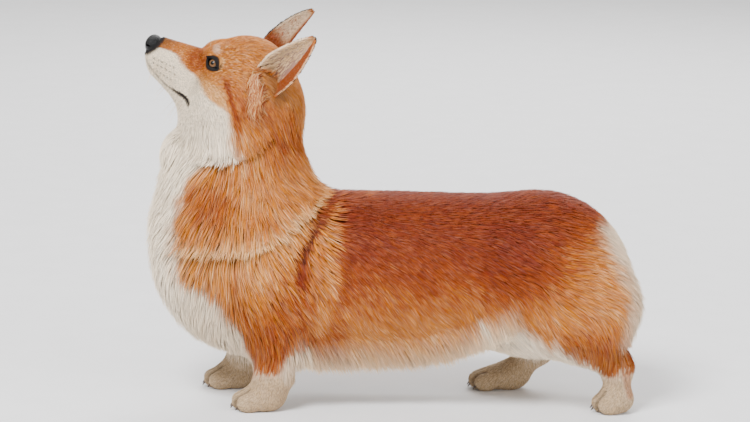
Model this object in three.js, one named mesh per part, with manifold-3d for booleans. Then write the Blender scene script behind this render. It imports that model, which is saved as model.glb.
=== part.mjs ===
// A Pembroke Welsh Corgi standing in profile with its head raised, as a still, life-size model.
// Millimetres, +Z up, the dog faces -X and its left side is -Y. The soles of the paws stand on z = 0.
// The body is one rounded field of eggs and limbs that melt into each other. It is wrapped in triangles
// and parted with thin cuts where a person would name its parts. Locks of long coat grow on the neck,
// chest, belly, breeches and forelegs.
import * as THREE from 'three';
import { mergeVertices } from 'three/addons/utils/BufferGeometryUtils.js';
import Module from 'manifold-3d';

const wasm = await Module();
wasm.setup();

// Driving dimensions
const BACK = 291;            // top of the coat along the back
const BELLY = 52;            // underside of the brisket, above the fringe
const FRONT = -337;          // forechest, from mid-body
const REAR = 342;            // back of the breeches
const GIRTH = 104;           // half the width of the barrel, coat included
const STANCE = 58;           // from the middle to the centre of each paw
const HEAD_AT = [-190, 0, 430];   // centre of the skull base
const HEAD_PITCH = 20;       // degrees that the muzzle is raised
const EYE_R = 10.5;          // eyeball
const GAP = 0.3;             // between two parts that touch
const SOLE = 0;

const rad = THREE.MathUtils.degToRad;

// Points and ways
const dot = (a, b) => a[0] * b[0] + a[1] * b[1] + a[2] * b[2];
const along = (p, way, far) => p.map((v, i) => v + way[i] * far);
const unit = v => v.map(x => x / Math.hypot(...v));
const cross = (a, b) => [a[1] * b[2] - a[2] * b[1], a[2] * b[0] - a[0] * b[2], a[0] * b[1] - a[1] * b[0]];
const opposite = v => v.map(x => -x);

// Fields: each takes a point and gives roughly the distance to a rounded form, negative inside

// An egg with half-axes r, turned nose-up by pitch degrees and then sideways by yaw degrees
function egg(c, r, pitch = 0, yaw = 0) {
  const cp = Math.cos(rad(pitch)), sp = Math.sin(rad(pitch));
  const cy = Math.cos(rad(yaw)), sy = Math.sin(rad(yaw));
  return (x, y, z) => {
    const dx = x - c[0], dy = y - c[1], dz = z - c[2];
    const ex = dx * cy + dy * sy, ey = dy * cy - dx * sy;
    const fx = ex * cp - dz * sp, fz = ex * sp + dz * cp;
    const ax = fx / r[0], ay = ey / r[1], az = fz / r[2];
    const k0 = Math.hypot(ax, ay, az);
    const k1 = Math.hypot(ax / r[0], ay / r[1], az / r[2]);
    return k1 > 1e-9 ? k0 * (k0 - 1) / k1 : -Math.min(...r);
  };
}

// A round-ended limb from a to b, with radius ra at a and rb at b, wide times as broad sideways
function limb(a, b, ra, rb, wide = 1) {
  const ab = [b[0] - a[0], b[1] - a[1], b[2] - a[2]];
  const len2 = ab[0] ** 2 + ab[1] ** 2 + ab[2] ** 2;
  return (x, y, z) => {
    const dx = x - a[0], dy = y - a[1], dz = z - a[2];
    const t = Math.min(1, Math.max(0, (dx * ab[0] + dy * ab[1] + dz * ab[2]) / len2));
    const off = Math.hypot(dx - ab[0] * t, (dy - ab[1] * t) / wide, dz - ab[2] * t);
    return (off - ra - (rb - ra) * t) * Math.min(1, wide);
  };
}

function melt(k, a, b) {
  const h = Math.max(k - Math.abs(a - b), 0) / k;
  return Math.min(a, b) - h * h * k / 4;
}

// Forms that melt into each other over k millimetres
function body(k, ...forms) {
  return (x, y, z) => {
    let d = forms[0](x, y, z);
    for (let i = 1; i < forms.length; i++) d = melt(k, d, forms[i](x, y, z));
    return d;
  };
}

// A form and its mirror image, given for the left side
const both = form => (x, y, z) => form(x, -Math.abs(y), z);

// A point of the head's own frame (forward, left, up) in the model's frame
function onHead(forward, left, up) {
  const c = Math.cos(rad(HEAD_PITCH)), s = Math.sin(rad(HEAD_PITCH));
  return [HEAD_AT[0] - forward * c + up * s, HEAD_AT[1] - left, HEAD_AT[2] + forward * s + up * c];
}
const headEgg = (f, l, u, r, tilt = 0, yaw = 0) => egg(onHead(f, l, u), r, -HEAD_PITCH + tilt, yaw);

// Trunk
const barrelAxis = BACK - GIRTH;
const trunk = body(30,
  limb([-150, 0, barrelAxis], [190, 0, barrelAxis - 3], GIRTH, GIRTH - 2, 0.94),
  limb([-150, 0, BELLY + 94], [50, 0, BELLY + 96], 94, 80, 0.92),
  egg([-212, 0, 222], [-FRONT - 215, 88, 156]),
  both(egg([-158, -48, 180], [70, 50, 92], 12)),
  egg([203, 0, 172], [122, 88, 113]),
  both(egg([257, -46, 144], [REAR - 260, 50, 76], 12)),
);
const neck = body(24,
  limb([-206, 0, 290], [-208, 0, 380], 84, 78, 0.9),
  egg([-236, 0, 322], [76, 66, 62]),
  egg([-182, 0, 408], [58, 62, 60]),
);

// Head
const skull = body(12,
  headEgg(22, 0, 8, [62, 54, 53]),
  limb(onHead(60, 0, -10), onHead(132, 0, -2), 36, 22.5, 0.86),
  limb(onHead(45, 0, -44), onHead(127, 0, -21), 34, 15, 0.84),
  both(headEgg(26, 36, -20, [50, 34, 46])),
  both(headEgg(66, 22, 27, [17, 13, 11])),
  headEgg(28, 0, -50, [50, 50, 42]),
);

// Legs: each is given by its upper joint, its wrist or hock, the tip of its paw and the paw's length
const TOES = [-1.5, -0.5, 0.5, 1.5];       // places across a paw, in toe widths
const TOE_WIDTH = 11.5;
const toeAt = (tip, i) => [tip[0] + (Math.abs(i) > 1 ? 20 : 13), tip[1] + i * TOE_WIDTH, 12];
const legs = {
  foreLeft: { top: [-156, -52, 118], joint: [-160, -STANCE, 46], tip: [-214, -STANCE, 0], paw: 68 },
  foreRight: { top: [-176, 52, 118], joint: [-196, STANCE, 46], tip: [-252, STANCE, 0], paw: 66 },
  hindLeft: { top: [236, -STANCE, 120], joint: [304, -STANCE, 64], tip: [273, -STANCE, 0], paw: 53 },
  hindRight: { top: [176, STANCE, 112], joint: [212, STANCE, 60], tip: [115, STANCE, 0], paw: 80 },
};
const ankleAt = ({ tip, paw }) => [tip[0] + paw - 23, tip[1], 22];
function leg(shape, upper, wristR, ankleR) {
  const { top, joint, tip, paw } = shape;
  return body(14,
    limb(top, joint, upper, wristR),
    limb(joint, ankleAt(shape), wristR - 2, ankleR),
    body(7,
      egg([tip[0] + paw / 2 + 4, tip[1], 16.5], [paw / 2 - 4, 22, 18]),
      ...TOES.map(i => egg(toeAt(tip, i), [16, 8, 12.5])),
    ),
  );
}

const dog = body(26, trunk, body(26, neck, skull),
  leg(legs.foreLeft, 36, 25, 21), leg(legs.foreRight, 36, 25, 21),
  leg(legs.hindLeft, 40, 21, 18), leg(legs.hindRight, 40, 21, 19),
);

// Planes that part the body, each a point and the way towards the first part named
const headPlane = [[-290, 0, 372], [-50, 0, 162]];      // head from neck
const collarPlane = [[-330, 0, 258], [-54, 0, 235]];    // neck from chest
const girthPlane = [[-90, 0, 205], [-187, 0, 48]];      // chest from barrel
const loinPlane = [[120, 0, 180], [-1, 0, -0.08]];      // barrel from rump

// How far the long coat stands over the core: the tips of its locks give the dog's outline
const BIB = 14, RUFF = 10, BREECHES = 12;
const ramp = (from, to, v) => THREE.MathUtils.smoothstep((v - from) / (to - from), 0, 1);
const headNormal = unit(headPlane[1]);
function coatDepth(x, y, z) {
  const under = -dot(headNormal, [x - headPlane[0][0], y, z - headPlane[0][2]]);
  const bib = BIB * ramp(-150, -240, x) * ramp(50, 90, z);
  const ruff = RUFF * ramp(-90, -160, x) * ramp(215, 262, z);
  const breeches = BREECHES * ramp(262, 315, x) * ramp(66, 110, z) * ramp(250, 205, z);
  return Math.max(Math.max(bib, ruff) * ramp(-4, 30, under), breeches);
}
const core = (x, y, z) => dog(x, y, z) + coatDepth(x, y, z);

// Meshing

// Wraps the zero surface of a field in triangles: one point in each cell that it crosses, moved onto it.
// The outermost grid points count as outside, so that the wrap is closed where the box cuts the field.
function wrap(field, low, high, step) {
  const n = low.map((v, i) => Math.ceil((high[i] - v) / step[i]) + 1);
  const at = (axis, k) => low[axis] + k * step[axis];
  const id = (i, j, k) => (k * n[1] + j) * n[0] + i;
  const value = new Float64Array(n[0] * n[1] * n[2]);
  const rim = (...cell) => cell.some((v, axis) => v === 0 || v === n[axis] - 1);
  const cells = [];
  for (let k = 0; k < n[2] - 1; k++) {
    for (let j = 0; j < n[1] - 1; j++) {
      for (let i = 0; i < n[0] - 1; i++) cells.push([i, j, k]);
    }
  }
  value.fill(1);
  for (const cell of cells) {
    if (!rim(...cell)) value[id(...cell)] = field(...cell.map((v, axis) => at(axis, v)));
  }
  const points = [];
  const cellPoint = new Map();
  for (const cell of cells) {
    const crossings = [];
    let onRim = false;
    for (let corner = 0; corner < 8; corner++) {
      for (let axis = 0; axis < 3; axis++) {
        if (corner >> axis & 1) continue;
        const a = cell.map((v, x) => v + (corner >> x & 1));
        const b = a.map((v, x) => v + (x === axis ? 1 : 0));
        const va = value[id(...a)], vb = value[id(...b)];
        if (va < 0 === vb < 0) continue;
        onRim ||= rim(...a) || rim(...b);
        const t = va / (va - vb);
        crossings.push(a.map((v, x) => at(x, v) * (1 - t) + at(x, b[x]) * t));
      }
    }
    if (!crossings.length) continue;
    let p = [0, 1, 2].map(x => crossings.reduce((sum, c) => sum + c[x], 0) / crossings.length);
    if (!onRim) {
      p = settle(field, p, 0, 2).map((v, x) => THREE.MathUtils.clamp(v, at(x, cell[x]), at(x, cell[x] + 1)));
    }
    cellPoint.set(id(...cell), points.length);
    points.push(p);
  }
  const span = (p, q) => Math.hypot(...points[p].map((s, x) => s - points[q][x]));
  const tris = [];
  for (const cell of cells) {
    for (let axis = 0; axis < 3; axis++) {
      const next = cell.map((v, x) => v + (x === axis ? 1 : 0));
      const inside = value[id(...cell)] < 0;
      if (inside === value[id(...next)] < 0) continue;
      const quad = [[0, 0], [1, 0], [1, 1], [0, 1]].map(([du, dv]) => {
        const beside = [...cell];
        beside[(axis + 1) % 3] -= du;
        beside[(axis + 2) % 3] -= dv;
        return cellPoint.get(id(...beside));
      });
      if (!inside) quad.reverse();
      const [a, b, c, d] = quad;
      tris.push(...(span(a, c) < span(b, d) ? [a, b, c, a, c, d] : [a, b, d, b, c, d]));
    }
  }
  return solidOf(points, tris);
}

// The way in which a field grows fastest
function slope(field, p) {
  const reach = 0.5;
  return [0, 1, 2].map(axis => {
    const a = [...p], b = [...p];
    a[axis] -= reach;
    b[axis] += reach;
    return (field(...b) - field(...a)) / (2 * reach);
  });
}

// Moves a point along the field's slope until the field is height there
function settle(field, p, height, steps = 4) {
  for (let s = 0; s < steps; s++) {
    const g = slope(field, p);
    const move = (height - field(...p)) / Math.max(dot(g, g), 0.05);
    p = along(p, g, move);
  }
  return p;
}

// A solid of points and triangles, turned inside out where its faces point inwards
function solidOf(points, tris) {
  let volume = 0;
  for (let t = 0; t < tris.length; t += 3) {
    const [a, b, c] = [points[tris[t]], points[tris[t + 1]], points[tris[t + 2]]];
    volume += dot(a, cross(b, c));
  }
  const faces = volume < 0 ? [...tris].reverse() : tris;
  return new wasm.Manifold(new wasm.Mesh({
    numProp: 3, vertProperties: new Float32Array(points.flat()), triVerts: new Uint32Array(faces),
  }));
}

// A closed surface through rings of points. Its ends are capped, a last ring of one point is a tip,
// and a loop joins its last ring to its first instead.
function loft(rings, loop = false) {
  const n = rings[0].length;
  const starts = rings.map((ring, r) => r * n);
  const tris = [];
  for (let r = 0; r < rings.length - (loop ? 0 : 1); r++) {
    const a = starts[r], next = (r + 1) % rings.length, b = starts[next];
    for (let i = 0; i < n; i++) {
      const j = (i + 1) % n;
      if (rings[next].length === 1) tris.push(a + i, a + j, b);
      else tris.push(a + i, a + j, b + j, a + i, b + j, b + i);
    }
  }
  const cap = (start, turn) => {
    for (let low = 0, high = n - 1; high - low > 1;) {
      const tri = [start + low, start + low + 1, start + high];
      tris.push(...(turn ? tri.reverse() : tri));
      low++;
      if (high - low > 1) {
        const back = [start + low, start + high - 1, start + high];
        tris.push(...(turn ? back.reverse() : back));
        high--;
      }
    }
  };
  if (!loop) {
    cap(starts[0], true);
    if (rings.at(-1).length > 1) cap(starts.at(-1), false);
  }
  return solidOf(rings.flat(), tris);
}

// A round bar through points, with a radius at each, and a flat end or a tip where the last radius is 0
function bar(points, radii, sides, loop = false) {
  const rings = points.map((p, i) => {
    const before = points[loop ? (i + points.length - 1) % points.length : Math.max(i - 1, 0)];
    const after = points[loop ? (i + 1) % points.length : Math.min(i + 1, points.length - 1)];
    const ahead = unit(along(after, before, -1));
    const aside = unit(cross(ahead, Math.abs(ahead[1]) < 0.9 ? [0, 1, 0] : [0, 0, 1]));
    const over = cross(ahead, aside);
    if (radii[i] === 0) return [p];
    return Array.from({ length: sides }, (_, s) => {
      const turn = s / sides * 2 * Math.PI;
      return along(along(p, aside, radii[i] * Math.cos(turn)), over, radii[i] * Math.sin(turn));
    });
  });
  return loft(rings, loop);
}

// Solids from three.js geometries
function solid(geometry, at, turn = new THREE.Quaternion(), scale = [1, 1, 1]) {
  geometry.deleteAttribute('normal');
  geometry.deleteAttribute('uv');
  geometry.applyMatrix4(new THREE.Matrix4().compose(
    new THREE.Vector3(...at), turn, new THREE.Vector3(...scale)));
  const merged = mergeVertices(geometry, 1e-4);
  return new wasm.Manifold(new wasm.Mesh({
    numProp: 3, vertProperties: merged.attributes.position.array, triVerts: new Uint32Array(merged.index.array),
  }));
}
const box = (low, high) => solid(
  new THREE.BoxGeometry(...high.map((v, i) => v - low[i])), low.map((v, i) => (v + high[i]) / 2));
const pitched = pitch => new THREE.Quaternion().setFromAxisAngle(new THREE.Vector3(0, 1, 0), rad(pitch));

// Everything on the side of a plane that its normal points to, less half a gap
function beyond(point, normal) {
  const size = 2000, n = new THREE.Vector3(...normal).normalize();
  const centre = new THREE.Vector3(...point).addScaledVector(n, size / 2 + GAP / 2);
  const turn = new THREE.Quaternion().setFromUnitVectors(new THREE.Vector3(0, 0, 1), n);
  return solid(new THREE.BoxGeometry(size, size, size), centre.toArray(), turn);
}
const side = (plane, first) => beyond(plane[0], first ? plane[1] : opposite(plane[1]));

// An egg-shaped solid, grown by a gap when it takes material away
const ball = (c, r, pitch, grow, across = 12, down = 8) =>
  solid(new THREE.SphereGeometry(1, across, down), c, pitched(pitch), r.map(v => v + grow));

const join = (first, ...rest) => rest.reduce((a, b) => a.add(b), first);
const cut = (first, ...rest) => rest.reduce((a, b) => a.subtract(b), first);
const common = (first, ...rest) => rest.reduce((a, b) => a.intersect(b), first);
const largest = s => s.decompose().reduce((a, b) => (a.volume() > b.volume() ? a : b));

// Locks of long coat

const ROOT_DEPTH = 6;                      // a lock's root is sunk this far in the core
const PROUD = 2;                           // its tip stands this far over the dog's outline
const LOCK_RINGS = [[0, 0.75], [0.34, 1], [0.7, 0.7], [1, 0]];    // place along the lock, share of its width
const LOCK_CREST = 0.2;                    // its middle stands this share of its width over its edges
const BEND = 0.35;                         // radians that a lock may curl sideways
let seed = 7;
function random() {                        // the same draw on every build
  seed = (seed * 16807) % 2147483647;
  return seed / 2147483647;
}
const about = (v, spread) => v * (1 + spread * (2 * random() - 1));

// A flat lock that leaves the core near a point, follows the lie of the coat and bends up to its tip
function lock(near, lie, length, width, rise = PROUD) {
  let p = settle(core, near, 0, 8), done = 0;
  const curl = BEND * (2 * random() - 1);
  const size = about(length, 0.15), half = about(width, 0.12) / 2, tall = about(rise, 0.25);
  return loft(LOCK_RINGS.map(([place, share]) => {
    const normal = unit(slope(core, p));
    const down = unit(along(lie, normal, -dot(lie, normal)));
    const way = unit(along(down, cross(normal, down), curl * place));
    p = along(p, way, size * (place - done));
    done = place;
    const height = (tall + coatDepth(...p)) * Math.sin(place * Math.PI / 2) - ROOT_DEPTH * (1 - place) ** 2;
    p = settle(core, p, height, 3);
    const out = unit(slope(core, p)), aside = unit(cross(way, out));
    const edge = half * share;
    return share ? [along(p, aside, -edge), along(p, out, 2 * edge * LOCK_CREST), along(p, aside, edge)] : [p];
  }));
}

// Rows of locks round an upright axis at x. Each row is given by its height in front, the turns from the
// front at which it starts and ends on either side, and its radius. tilt raises the rows towards the back.
function rows({ x, width, tilt, list, lie, length }) {
  return list.flatMap(([z, from, to, radius], row) => {
    const count = Math.round(2 * to * radius / (width * 0.9));
    const turns = Array.from({ length: count }, (_, i) => to * ((2 * i + 1 + row % 2) / count - 1));
    return turns.filter(turn => Math.abs(turn) >= from).map(turn => {
      const at = [x - radius * Math.cos(turn), -radius * Math.sin(turn), z + tilt * radius * (1 - Math.cos(turn))];
      return lock(at, lie(turn), length, width);
    });
  });
}

// The model

const RED = 0xb8652e, DEEP_RED = 0x9c4e20, GOLD = 0xcf8f52, CREAM = 0xe9dccb, BLACK = 0x141214, BROWN = 0x2a1710;
const dogModel = new THREE.Group();
function add(name, s, colour, roughness = 0.85) {
  const m = largest(s).getMesh();
  const geometry = new THREE.BufferGeometry()
    .setAttribute('position', new THREE.BufferAttribute(new Float32Array(m.vertProperties), 3))
    .setIndex(new THREE.BufferAttribute(new Uint32Array(m.triVerts), 1));
  geometry.computeVertexNormals();
  const mesh = new THREE.Mesh(geometry, new THREE.MeshStandardMaterial({ color: colour, roughness, metalness: 0 }));
  mesh.name = name;
  dogModel.add(mesh);
}
const sides = [['left', 1], ['right', -1]];   // the left side is +1 in the head's frame and -Y in the model's

// Legs: each is parted from the trunk along an oval round its root, a bar down its bones and a low box
const INNER = 26;                          // from the middle to the cut inside each thigh and elbow
const legCuts = {
  foreLeft: { oval: [-156, 96, 50, 58], foot: [-236, -122] },
  foreRight: { oval: [-178, 96, 50, 58], foot: [-274, -150] },
  hindLeft: { oval: [252, 136, 98, 84], foot: [250, 346] },
  hindRight: { oval: [236, 134, 107, 82], foot: [92, 252] },
};
const FOOT_HEIGHT = 38;                    // the low box reaches up to here
function legKnife(name, grow) {
  const { top, joint, tip } = legs[name];
  const { oval: [x, z, rx, rz], foot } = legCuts[name];
  const out = Math.sign(top[1]), reach = 200;
  const oval = solid(new THREE.CylinderGeometry(1, 1, 1, 28), [x, out * (INNER - grow + reach / 2), z],
    pitched(0), [rx + grow, reach, rz + grow]);
  const bones = bar([along(top, unit(along(joint, top, -1)), 10), joint, ankleAt(legs[name])],
    [46 + grow, 33 + grow, 34 + grow], 10);
  const [y0, y1] = [out * (12 - grow), out * 140].sort((a, b) => a - b);
  return join(oval, bones, box([foot[0] - grow, y0, -30], [foot[1] + grow, y1, FOOT_HEIGHT + grow]));
}
function claws(name) {
  return join(...TOES.map(i => {
    const [x, y, z] = toeAt(legs[name].tip, i);
    return bar([[x - 9, y, z - 2], [x - 19, y, z - 9]], [3.1, 0], 5);
  }));
}
// A length of a leg with its claws or locks, wrapped finely enough for its shape
function legPiece(name, step, details, ...ends) {
  const { top, joint, tip } = legs[name], out = Math.sign(top[1]);
  const xs = [top[0], joint[0], tip[0]];
  const [y0, y1] = [out * 8, out * 138].sort((a, b) => a - b);
  const low = [Math.min(...xs) - 110, y0, -24], high = [Math.max(...xs) + 110, y1, 232];
  return common(join(wrap(core, low, high, step), ...details), legKnife(name, 0), ...ends, floor);
}
const floor = beyond([0, 0, SOLE - GAP / 2], [0, 0, 1]);
const THIGH_STEP = [18, 15, 17], FOREARM_STEP = [14, 12, 15], HOCK_STEP = [14, 12, 14], PAW_STEP = [11, 9, 10];

// Trunk and neck
const trunkSkin = wrap(core, [-380, -140, 0], [372, 140, 480], [34, 24, 24]);

// Ruff: rows round the neck, below the cheeks too. Bib: rows over the forechest and shoulders.
const ruff = rows({
  x: -206, width: 58, tilt: 0.27, length: 74,
  list: [[382, 1, 2.5, 74], [356, 0, Math.PI, 82], [306, 0, Math.PI, 86]],
  lie: turn => [0.12 + 0.3 * (1 - Math.cos(turn)), 0, -1],
});
const bib = rows({
  x: -205, width: 58, tilt: 0.24, length: 82,
  list: [[252, 0, 2, 106], [200, 0, 1.55, 118], [146, 0, 1, 112]],
  lie: turn => [0.16 + 0.5 * (1 - Math.cos(turn)), 0.12 * Math.sin(turn), -1],
});

// Belly fringe: rows along the barrel's underside that hang back and down
const FRINGE_STEP = 50, FRINGE_DROP = 17;
const fringe = [-54, 0, 54].flatMap((y, row) => Array.from({ length: 5 }, (_, i) =>
  lock([-124 + FRINGE_STEP * (i + (row % 2) / 2), y, 20], [1, 0, -0.5], 70, 52, FRINGE_DROP)));

// Breeches: rows down the back of the rump and thighs
const breeches = [226, 182, 138].flatMap((z, row) => [-66, -22, 22, 66].map(y =>
  lock([420, y + (row % 2 ? 10 : -10), z], [0.1, 0, -1], 78, 52)));

// Feather: a few locks behind each elbow and forearm
const feather = ['foreLeft', 'foreRight'].flatMap(name => [104, 86, 68].map(z =>
  lock([legs[name].joint[0] + 60, legs[name].joint[1], z], [0.35, 0, -1], 40, 28, 8)));

const coated = join(trunkSkin, ...ruff, ...bib, ...fringe, ...breeches, ...feather);

// Tail: docked, so only its root is there, a cap on the croup
const TAIL_ROOT = [[286, 0, 238], [24, 22, 24]];
add('tail_stub', trunkSkin.intersect(ball(...TAIL_ROOT, 0, 0, 10, 6)), DEEP_RED);
const legKnives = Object.keys(legs).map(name => legKnife(name, GAP));
add('neck', common(coated, side(collarPlane, true), side(headPlane, false)), RED);
add('chest', cut(common(coated, side(collarPlane, false), side(girthPlane, true)), ...legKnives), RED);
add('barrel', cut(common(coated, side(girthPlane, false), side(loinPlane, true)), ...legKnives), RED);
add('rump', cut(common(coated, side(loinPlane, false)), ...legKnives, ball(...TAIL_ROOT, 0, GAP, 10, 6)), RED);

for (const [word, flip] of sides) {
  const fore = flip > 0 ? 'foreLeft' : 'foreRight', hind = flip > 0 ? 'hindLeft' : 'hindRight';
  const wrist = [along(legs[fore].joint, [0, 0, 1], -4), [0.2, 0, 1]];
  add('foreleg_' + word, legPiece(fore, FOREARM_STEP, feather, side(wrist, true)), RED);
  add('forepaw_' + word, legPiece(fore, PAW_STEP, [claws(fore)], side(wrist, false)), CREAM);
  const { top, joint } = legs[hind], foot = ankleAt(legs[hind]);
  const shank = unit(along(top, joint, -1)), pastern = unit(along(joint, foot, -1));
  const hock = [along(joint, shank, 27), shank], ankle = [along(foot, pastern, 6), pastern];
  add('thigh_' + word, legPiece(hind, THIGH_STEP, breeches, side(hock, true)), RED);
  add('hock_' + word, legPiece(hind, HOCK_STEP, [], side(hock, false), side(ankle, true)), CREAM);
  add('hindpaw_' + word, legPiece(hind, PAW_STEP, [claws(hind)], side(ankle, false)), CREAM);
}

// Ears: a cupped leaf from foot to tip that faces forward and out
const EAR_FOOT = [-5, 51, 14], EAR_FACING = [0.469, 0.833, -0.29];
const earTip = flip => [-43, 98, flip > 0 ? 102 : 111];   // the right ear is held a little higher
const EAR_HALF = 35, EAR_CUP = 17, EAR_THICK = 4.5, EAR_SUNK = 0.15;
const EAR_ROWS = [-EAR_SUNK, 0.05, 0.28, 0.52, 0.74, 0.9, 0.98], EAR_COLUMNS = 6;
function ear(flip, grow) {
  const at = ([f, l, u]) => onHead(f, flip * l, u);
  const foot = at(EAR_FOOT), rise = along(at(earTip(flip)), foot, -1);
  const leaning = along(at(EAR_FACING), at([0, 0, 0]), -1);
  const facing = unit(along(leaning, rise, -dot(leaning, rise) / dot(rise, rise)));
  const across = unit(cross(facing, rise));
  return loft(EAR_ROWS.map(v => {
    const risen = Math.max(v, 0);
    const half = EAR_HALF * (1 - risen ** 1.7) ** 0.75 + grow;
    const cup = EAR_CUP * (half / EAR_HALF) ** 1.3;
    const thick = EAR_THICK - 1.6 * risen;
    const face = Array.from({ length: EAR_COLUMNS + 1 }, (_, i) => {
      const u = 2 * i / EAR_COLUMNS - 1, deep = 1 - u * u;
      const middle = along(along(foot, rise, v - (v < 0 ? grow / 100 : 0)), across, u * half);
      return [along(middle, facing, grow - cup * deep),
        along(middle, facing, -grow - cup * deep - thick * (0.4 + 0.6 * deep))];
    });
    return [...face.map(pair => pair[0]), ...face.map(pair => pair[1]).reverse()];
  }));
}

// Head: the ears, eyes and nose sit in sockets cut to them
const EYE_AT = [61, 32.2, 14.2], EYE_AXIS = [0.64, 0.75, 0.11];
const NOSE_AT = [146, 0, 6], NOSE_R = [10, 13, 12.5];
const LID_HALF = 10.4, LID_UPPER = 7.4, LID_LOWER = 7, LID_THICK = 1.9, LID_POINTS = 12, LID_SIDES = 4;
const eyeAt = flip => onHead(EYE_AT[0], flip * EYE_AT[1], EYE_AT[2]);
const eyeball = (flip, grow) => ball(eyeAt(flip), [EYE_R, EYE_R, EYE_R], 0, grow);
function lids(flip) {
  const out = along(onHead(EYE_AXIS[0], flip * EYE_AXIS[1], EYE_AXIS[2]), onHead(0, 0, 0), -1);
  const up = along(onHead(0, 0, 1), onHead(0, 0, 0), -1);
  const corner = unit(cross(up, out)), lift = cross(out, corner), radius = EYE_R + 0.9;
  const rim = Array.from({ length: LID_POINTS }, (_, i) => {
    const turn = i / LID_POINTS * 2 * Math.PI, s = Math.sin(turn);
    const a = LID_HALF * Math.cos(turn), b = s * (s > 0 ? LID_UPPER : LID_LOWER);
    const way = along(along(out.map(v => v * Math.sqrt(radius ** 2 - a * a - b * b)), corner, a), lift, b);
    return along(eyeAt(flip), way, 1);
  });
  return bar(rim, rim.map(() => LID_THICK), LID_SIDES, true);
}
// The line between the lips, from under the nose round to the corner of the mouth
const LIPS = [[144, 0, -12], [138, 12, -17], [124, 18, -26], [108, 22, -37], [94, 28, -43], [82, 34, -46]];
const LIP_GROOVE = 1.6, LIP_ROLL = 2.6;
function lipLine(flip, height, drop) {
  return LIPS.map(([f, l, u]) => settle(core, onHead(f, flip * l, u + drop), height));
}
const HEAD_STEP = [12, 11, 11];
let head = join(wrap(core, [-352, -105, 330], [-90, 105, 520], HEAD_STEP), ...ruff).intersect(side(headPlane, true));
for (const [, flip] of sides) {
  const upper = lipLine(flip, -1.2, 3.6), groove = lipLine(flip, 0, 0), lower = lipLine(flip, -1.4, -3.4);
  head = join(head, lids(flip), bar(upper, upper.map(() => LIP_ROLL), 4), bar(lower, lower.map(() => LIP_ROLL), 4));
  head = cut(head, bar(groove, groove.map(() => LIP_GROOVE), 4));
}
head = cut(head, ball(onHead(...NOSE_AT), NOSE_R, -HEAD_PITCH, GAP),
  ...sides.flatMap(([, flip]) => [ear(flip, GAP), eyeball(flip, GAP)]));
add('head', head, RED);
for (const [word, flip] of sides) {
  add('ear_' + word, ear(flip, 0).intersect(side(headPlane, true)), DEEP_RED);
  add('eye_' + word, eyeball(flip, 0), BROWN, 0.1);
}
const nostrils = sides.flatMap(([, flip]) => [
  ball(onHead(155, flip * 6.5, 6), [5, 3, 4], -HEAD_PITCH, 0, 6, 4),
  ball(onHead(150, flip * 12, 3), [5, 3, 2], -HEAD_PITCH, 0, 6, 4),
]);
add('nose', cut(ball(onHead(...NOSE_AT), NOSE_R, -HEAD_PITCH, 0), ...nostrils), BLACK, 0.35);

// The origin is on the floor, under the middle of the dog
const bounds = new THREE.Box3().setFromObject(dogModel, true);
const middle = bounds.getCenter(new THREE.Vector3());
dogModel.position.set(-middle.x, -middle.y, -bounds.min.z);

export default dogModel;
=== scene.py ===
# A life-size Pembroke Welsh Corgi: skin, coat, eyes, nose, ears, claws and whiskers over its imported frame.
# Shapes are worked out in millimetres in the maker's frame, where the dog faces -X, its left side is -Y and
# its soles stand on z = 0, and are moved by SHIFT into the frame's metres.
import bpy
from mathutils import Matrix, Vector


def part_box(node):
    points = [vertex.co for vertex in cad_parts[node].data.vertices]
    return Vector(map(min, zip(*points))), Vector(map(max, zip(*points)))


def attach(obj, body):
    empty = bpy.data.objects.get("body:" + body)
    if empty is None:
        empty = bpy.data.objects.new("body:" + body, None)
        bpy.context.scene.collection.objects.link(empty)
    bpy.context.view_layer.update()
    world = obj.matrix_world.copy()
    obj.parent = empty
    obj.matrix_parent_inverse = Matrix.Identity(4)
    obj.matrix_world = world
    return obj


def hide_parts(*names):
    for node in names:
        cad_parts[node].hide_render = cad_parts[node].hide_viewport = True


bl_info = {
    "name": "Corgi Dresser",
    "version": (1, 0, 0),
    "blender": (4, 5, 0),
    "location": "3D View > Sidebar > Corgi",
    "description": "Builds the skin, coat, face, ears and claws of a life-size corgi over its packed frame",
    "category": "Object",
}

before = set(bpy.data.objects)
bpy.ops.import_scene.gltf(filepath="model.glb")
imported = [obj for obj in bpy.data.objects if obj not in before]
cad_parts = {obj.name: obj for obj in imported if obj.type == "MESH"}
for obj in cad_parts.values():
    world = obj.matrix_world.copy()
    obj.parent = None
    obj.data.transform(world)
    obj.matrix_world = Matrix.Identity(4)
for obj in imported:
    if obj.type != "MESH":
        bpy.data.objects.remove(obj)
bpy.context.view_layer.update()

import math

import bpy
import numpy as np
from bpy.props import FloatProperty, FloatVectorProperty, IntProperty, PointerProperty
from mathutils import Matrix, Vector
from mathutils.kdtree import KDTree

MM = 0.001

# Driving dimensions of the body
BACK = 291.0
BELLY = 52.0
FRONT = -337.0
REAR = 342.0
GIRTH = 104.0
STANCE = 58.0
HEAD_AT = np.array([-190.0, 0.0, 430.0])
HEAD_PITCH = 20.0
EYE_R = 10.5

# Places on the head, as forward, left and up from the centre of the skull's base
EYE_AT = (61.0, 32.2, 14.2)
EYE_AXIS = (0.64, 0.75, 0.11)
EYE_GAZE = (0.52, 0.82, 0.22)
EYE_TILT = 25.0
NOSE_AT = (146.0, 0.0, 6.0)
NOSE_R = (11.3, 13.4, 13.4)
LIPS = [(147, 4, -14), (140, 10, -24), (127, 14, -34), (115, 17, -41), (103, 22, -43), (91, 28, -43),
        (80, 34, -46)]

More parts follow.
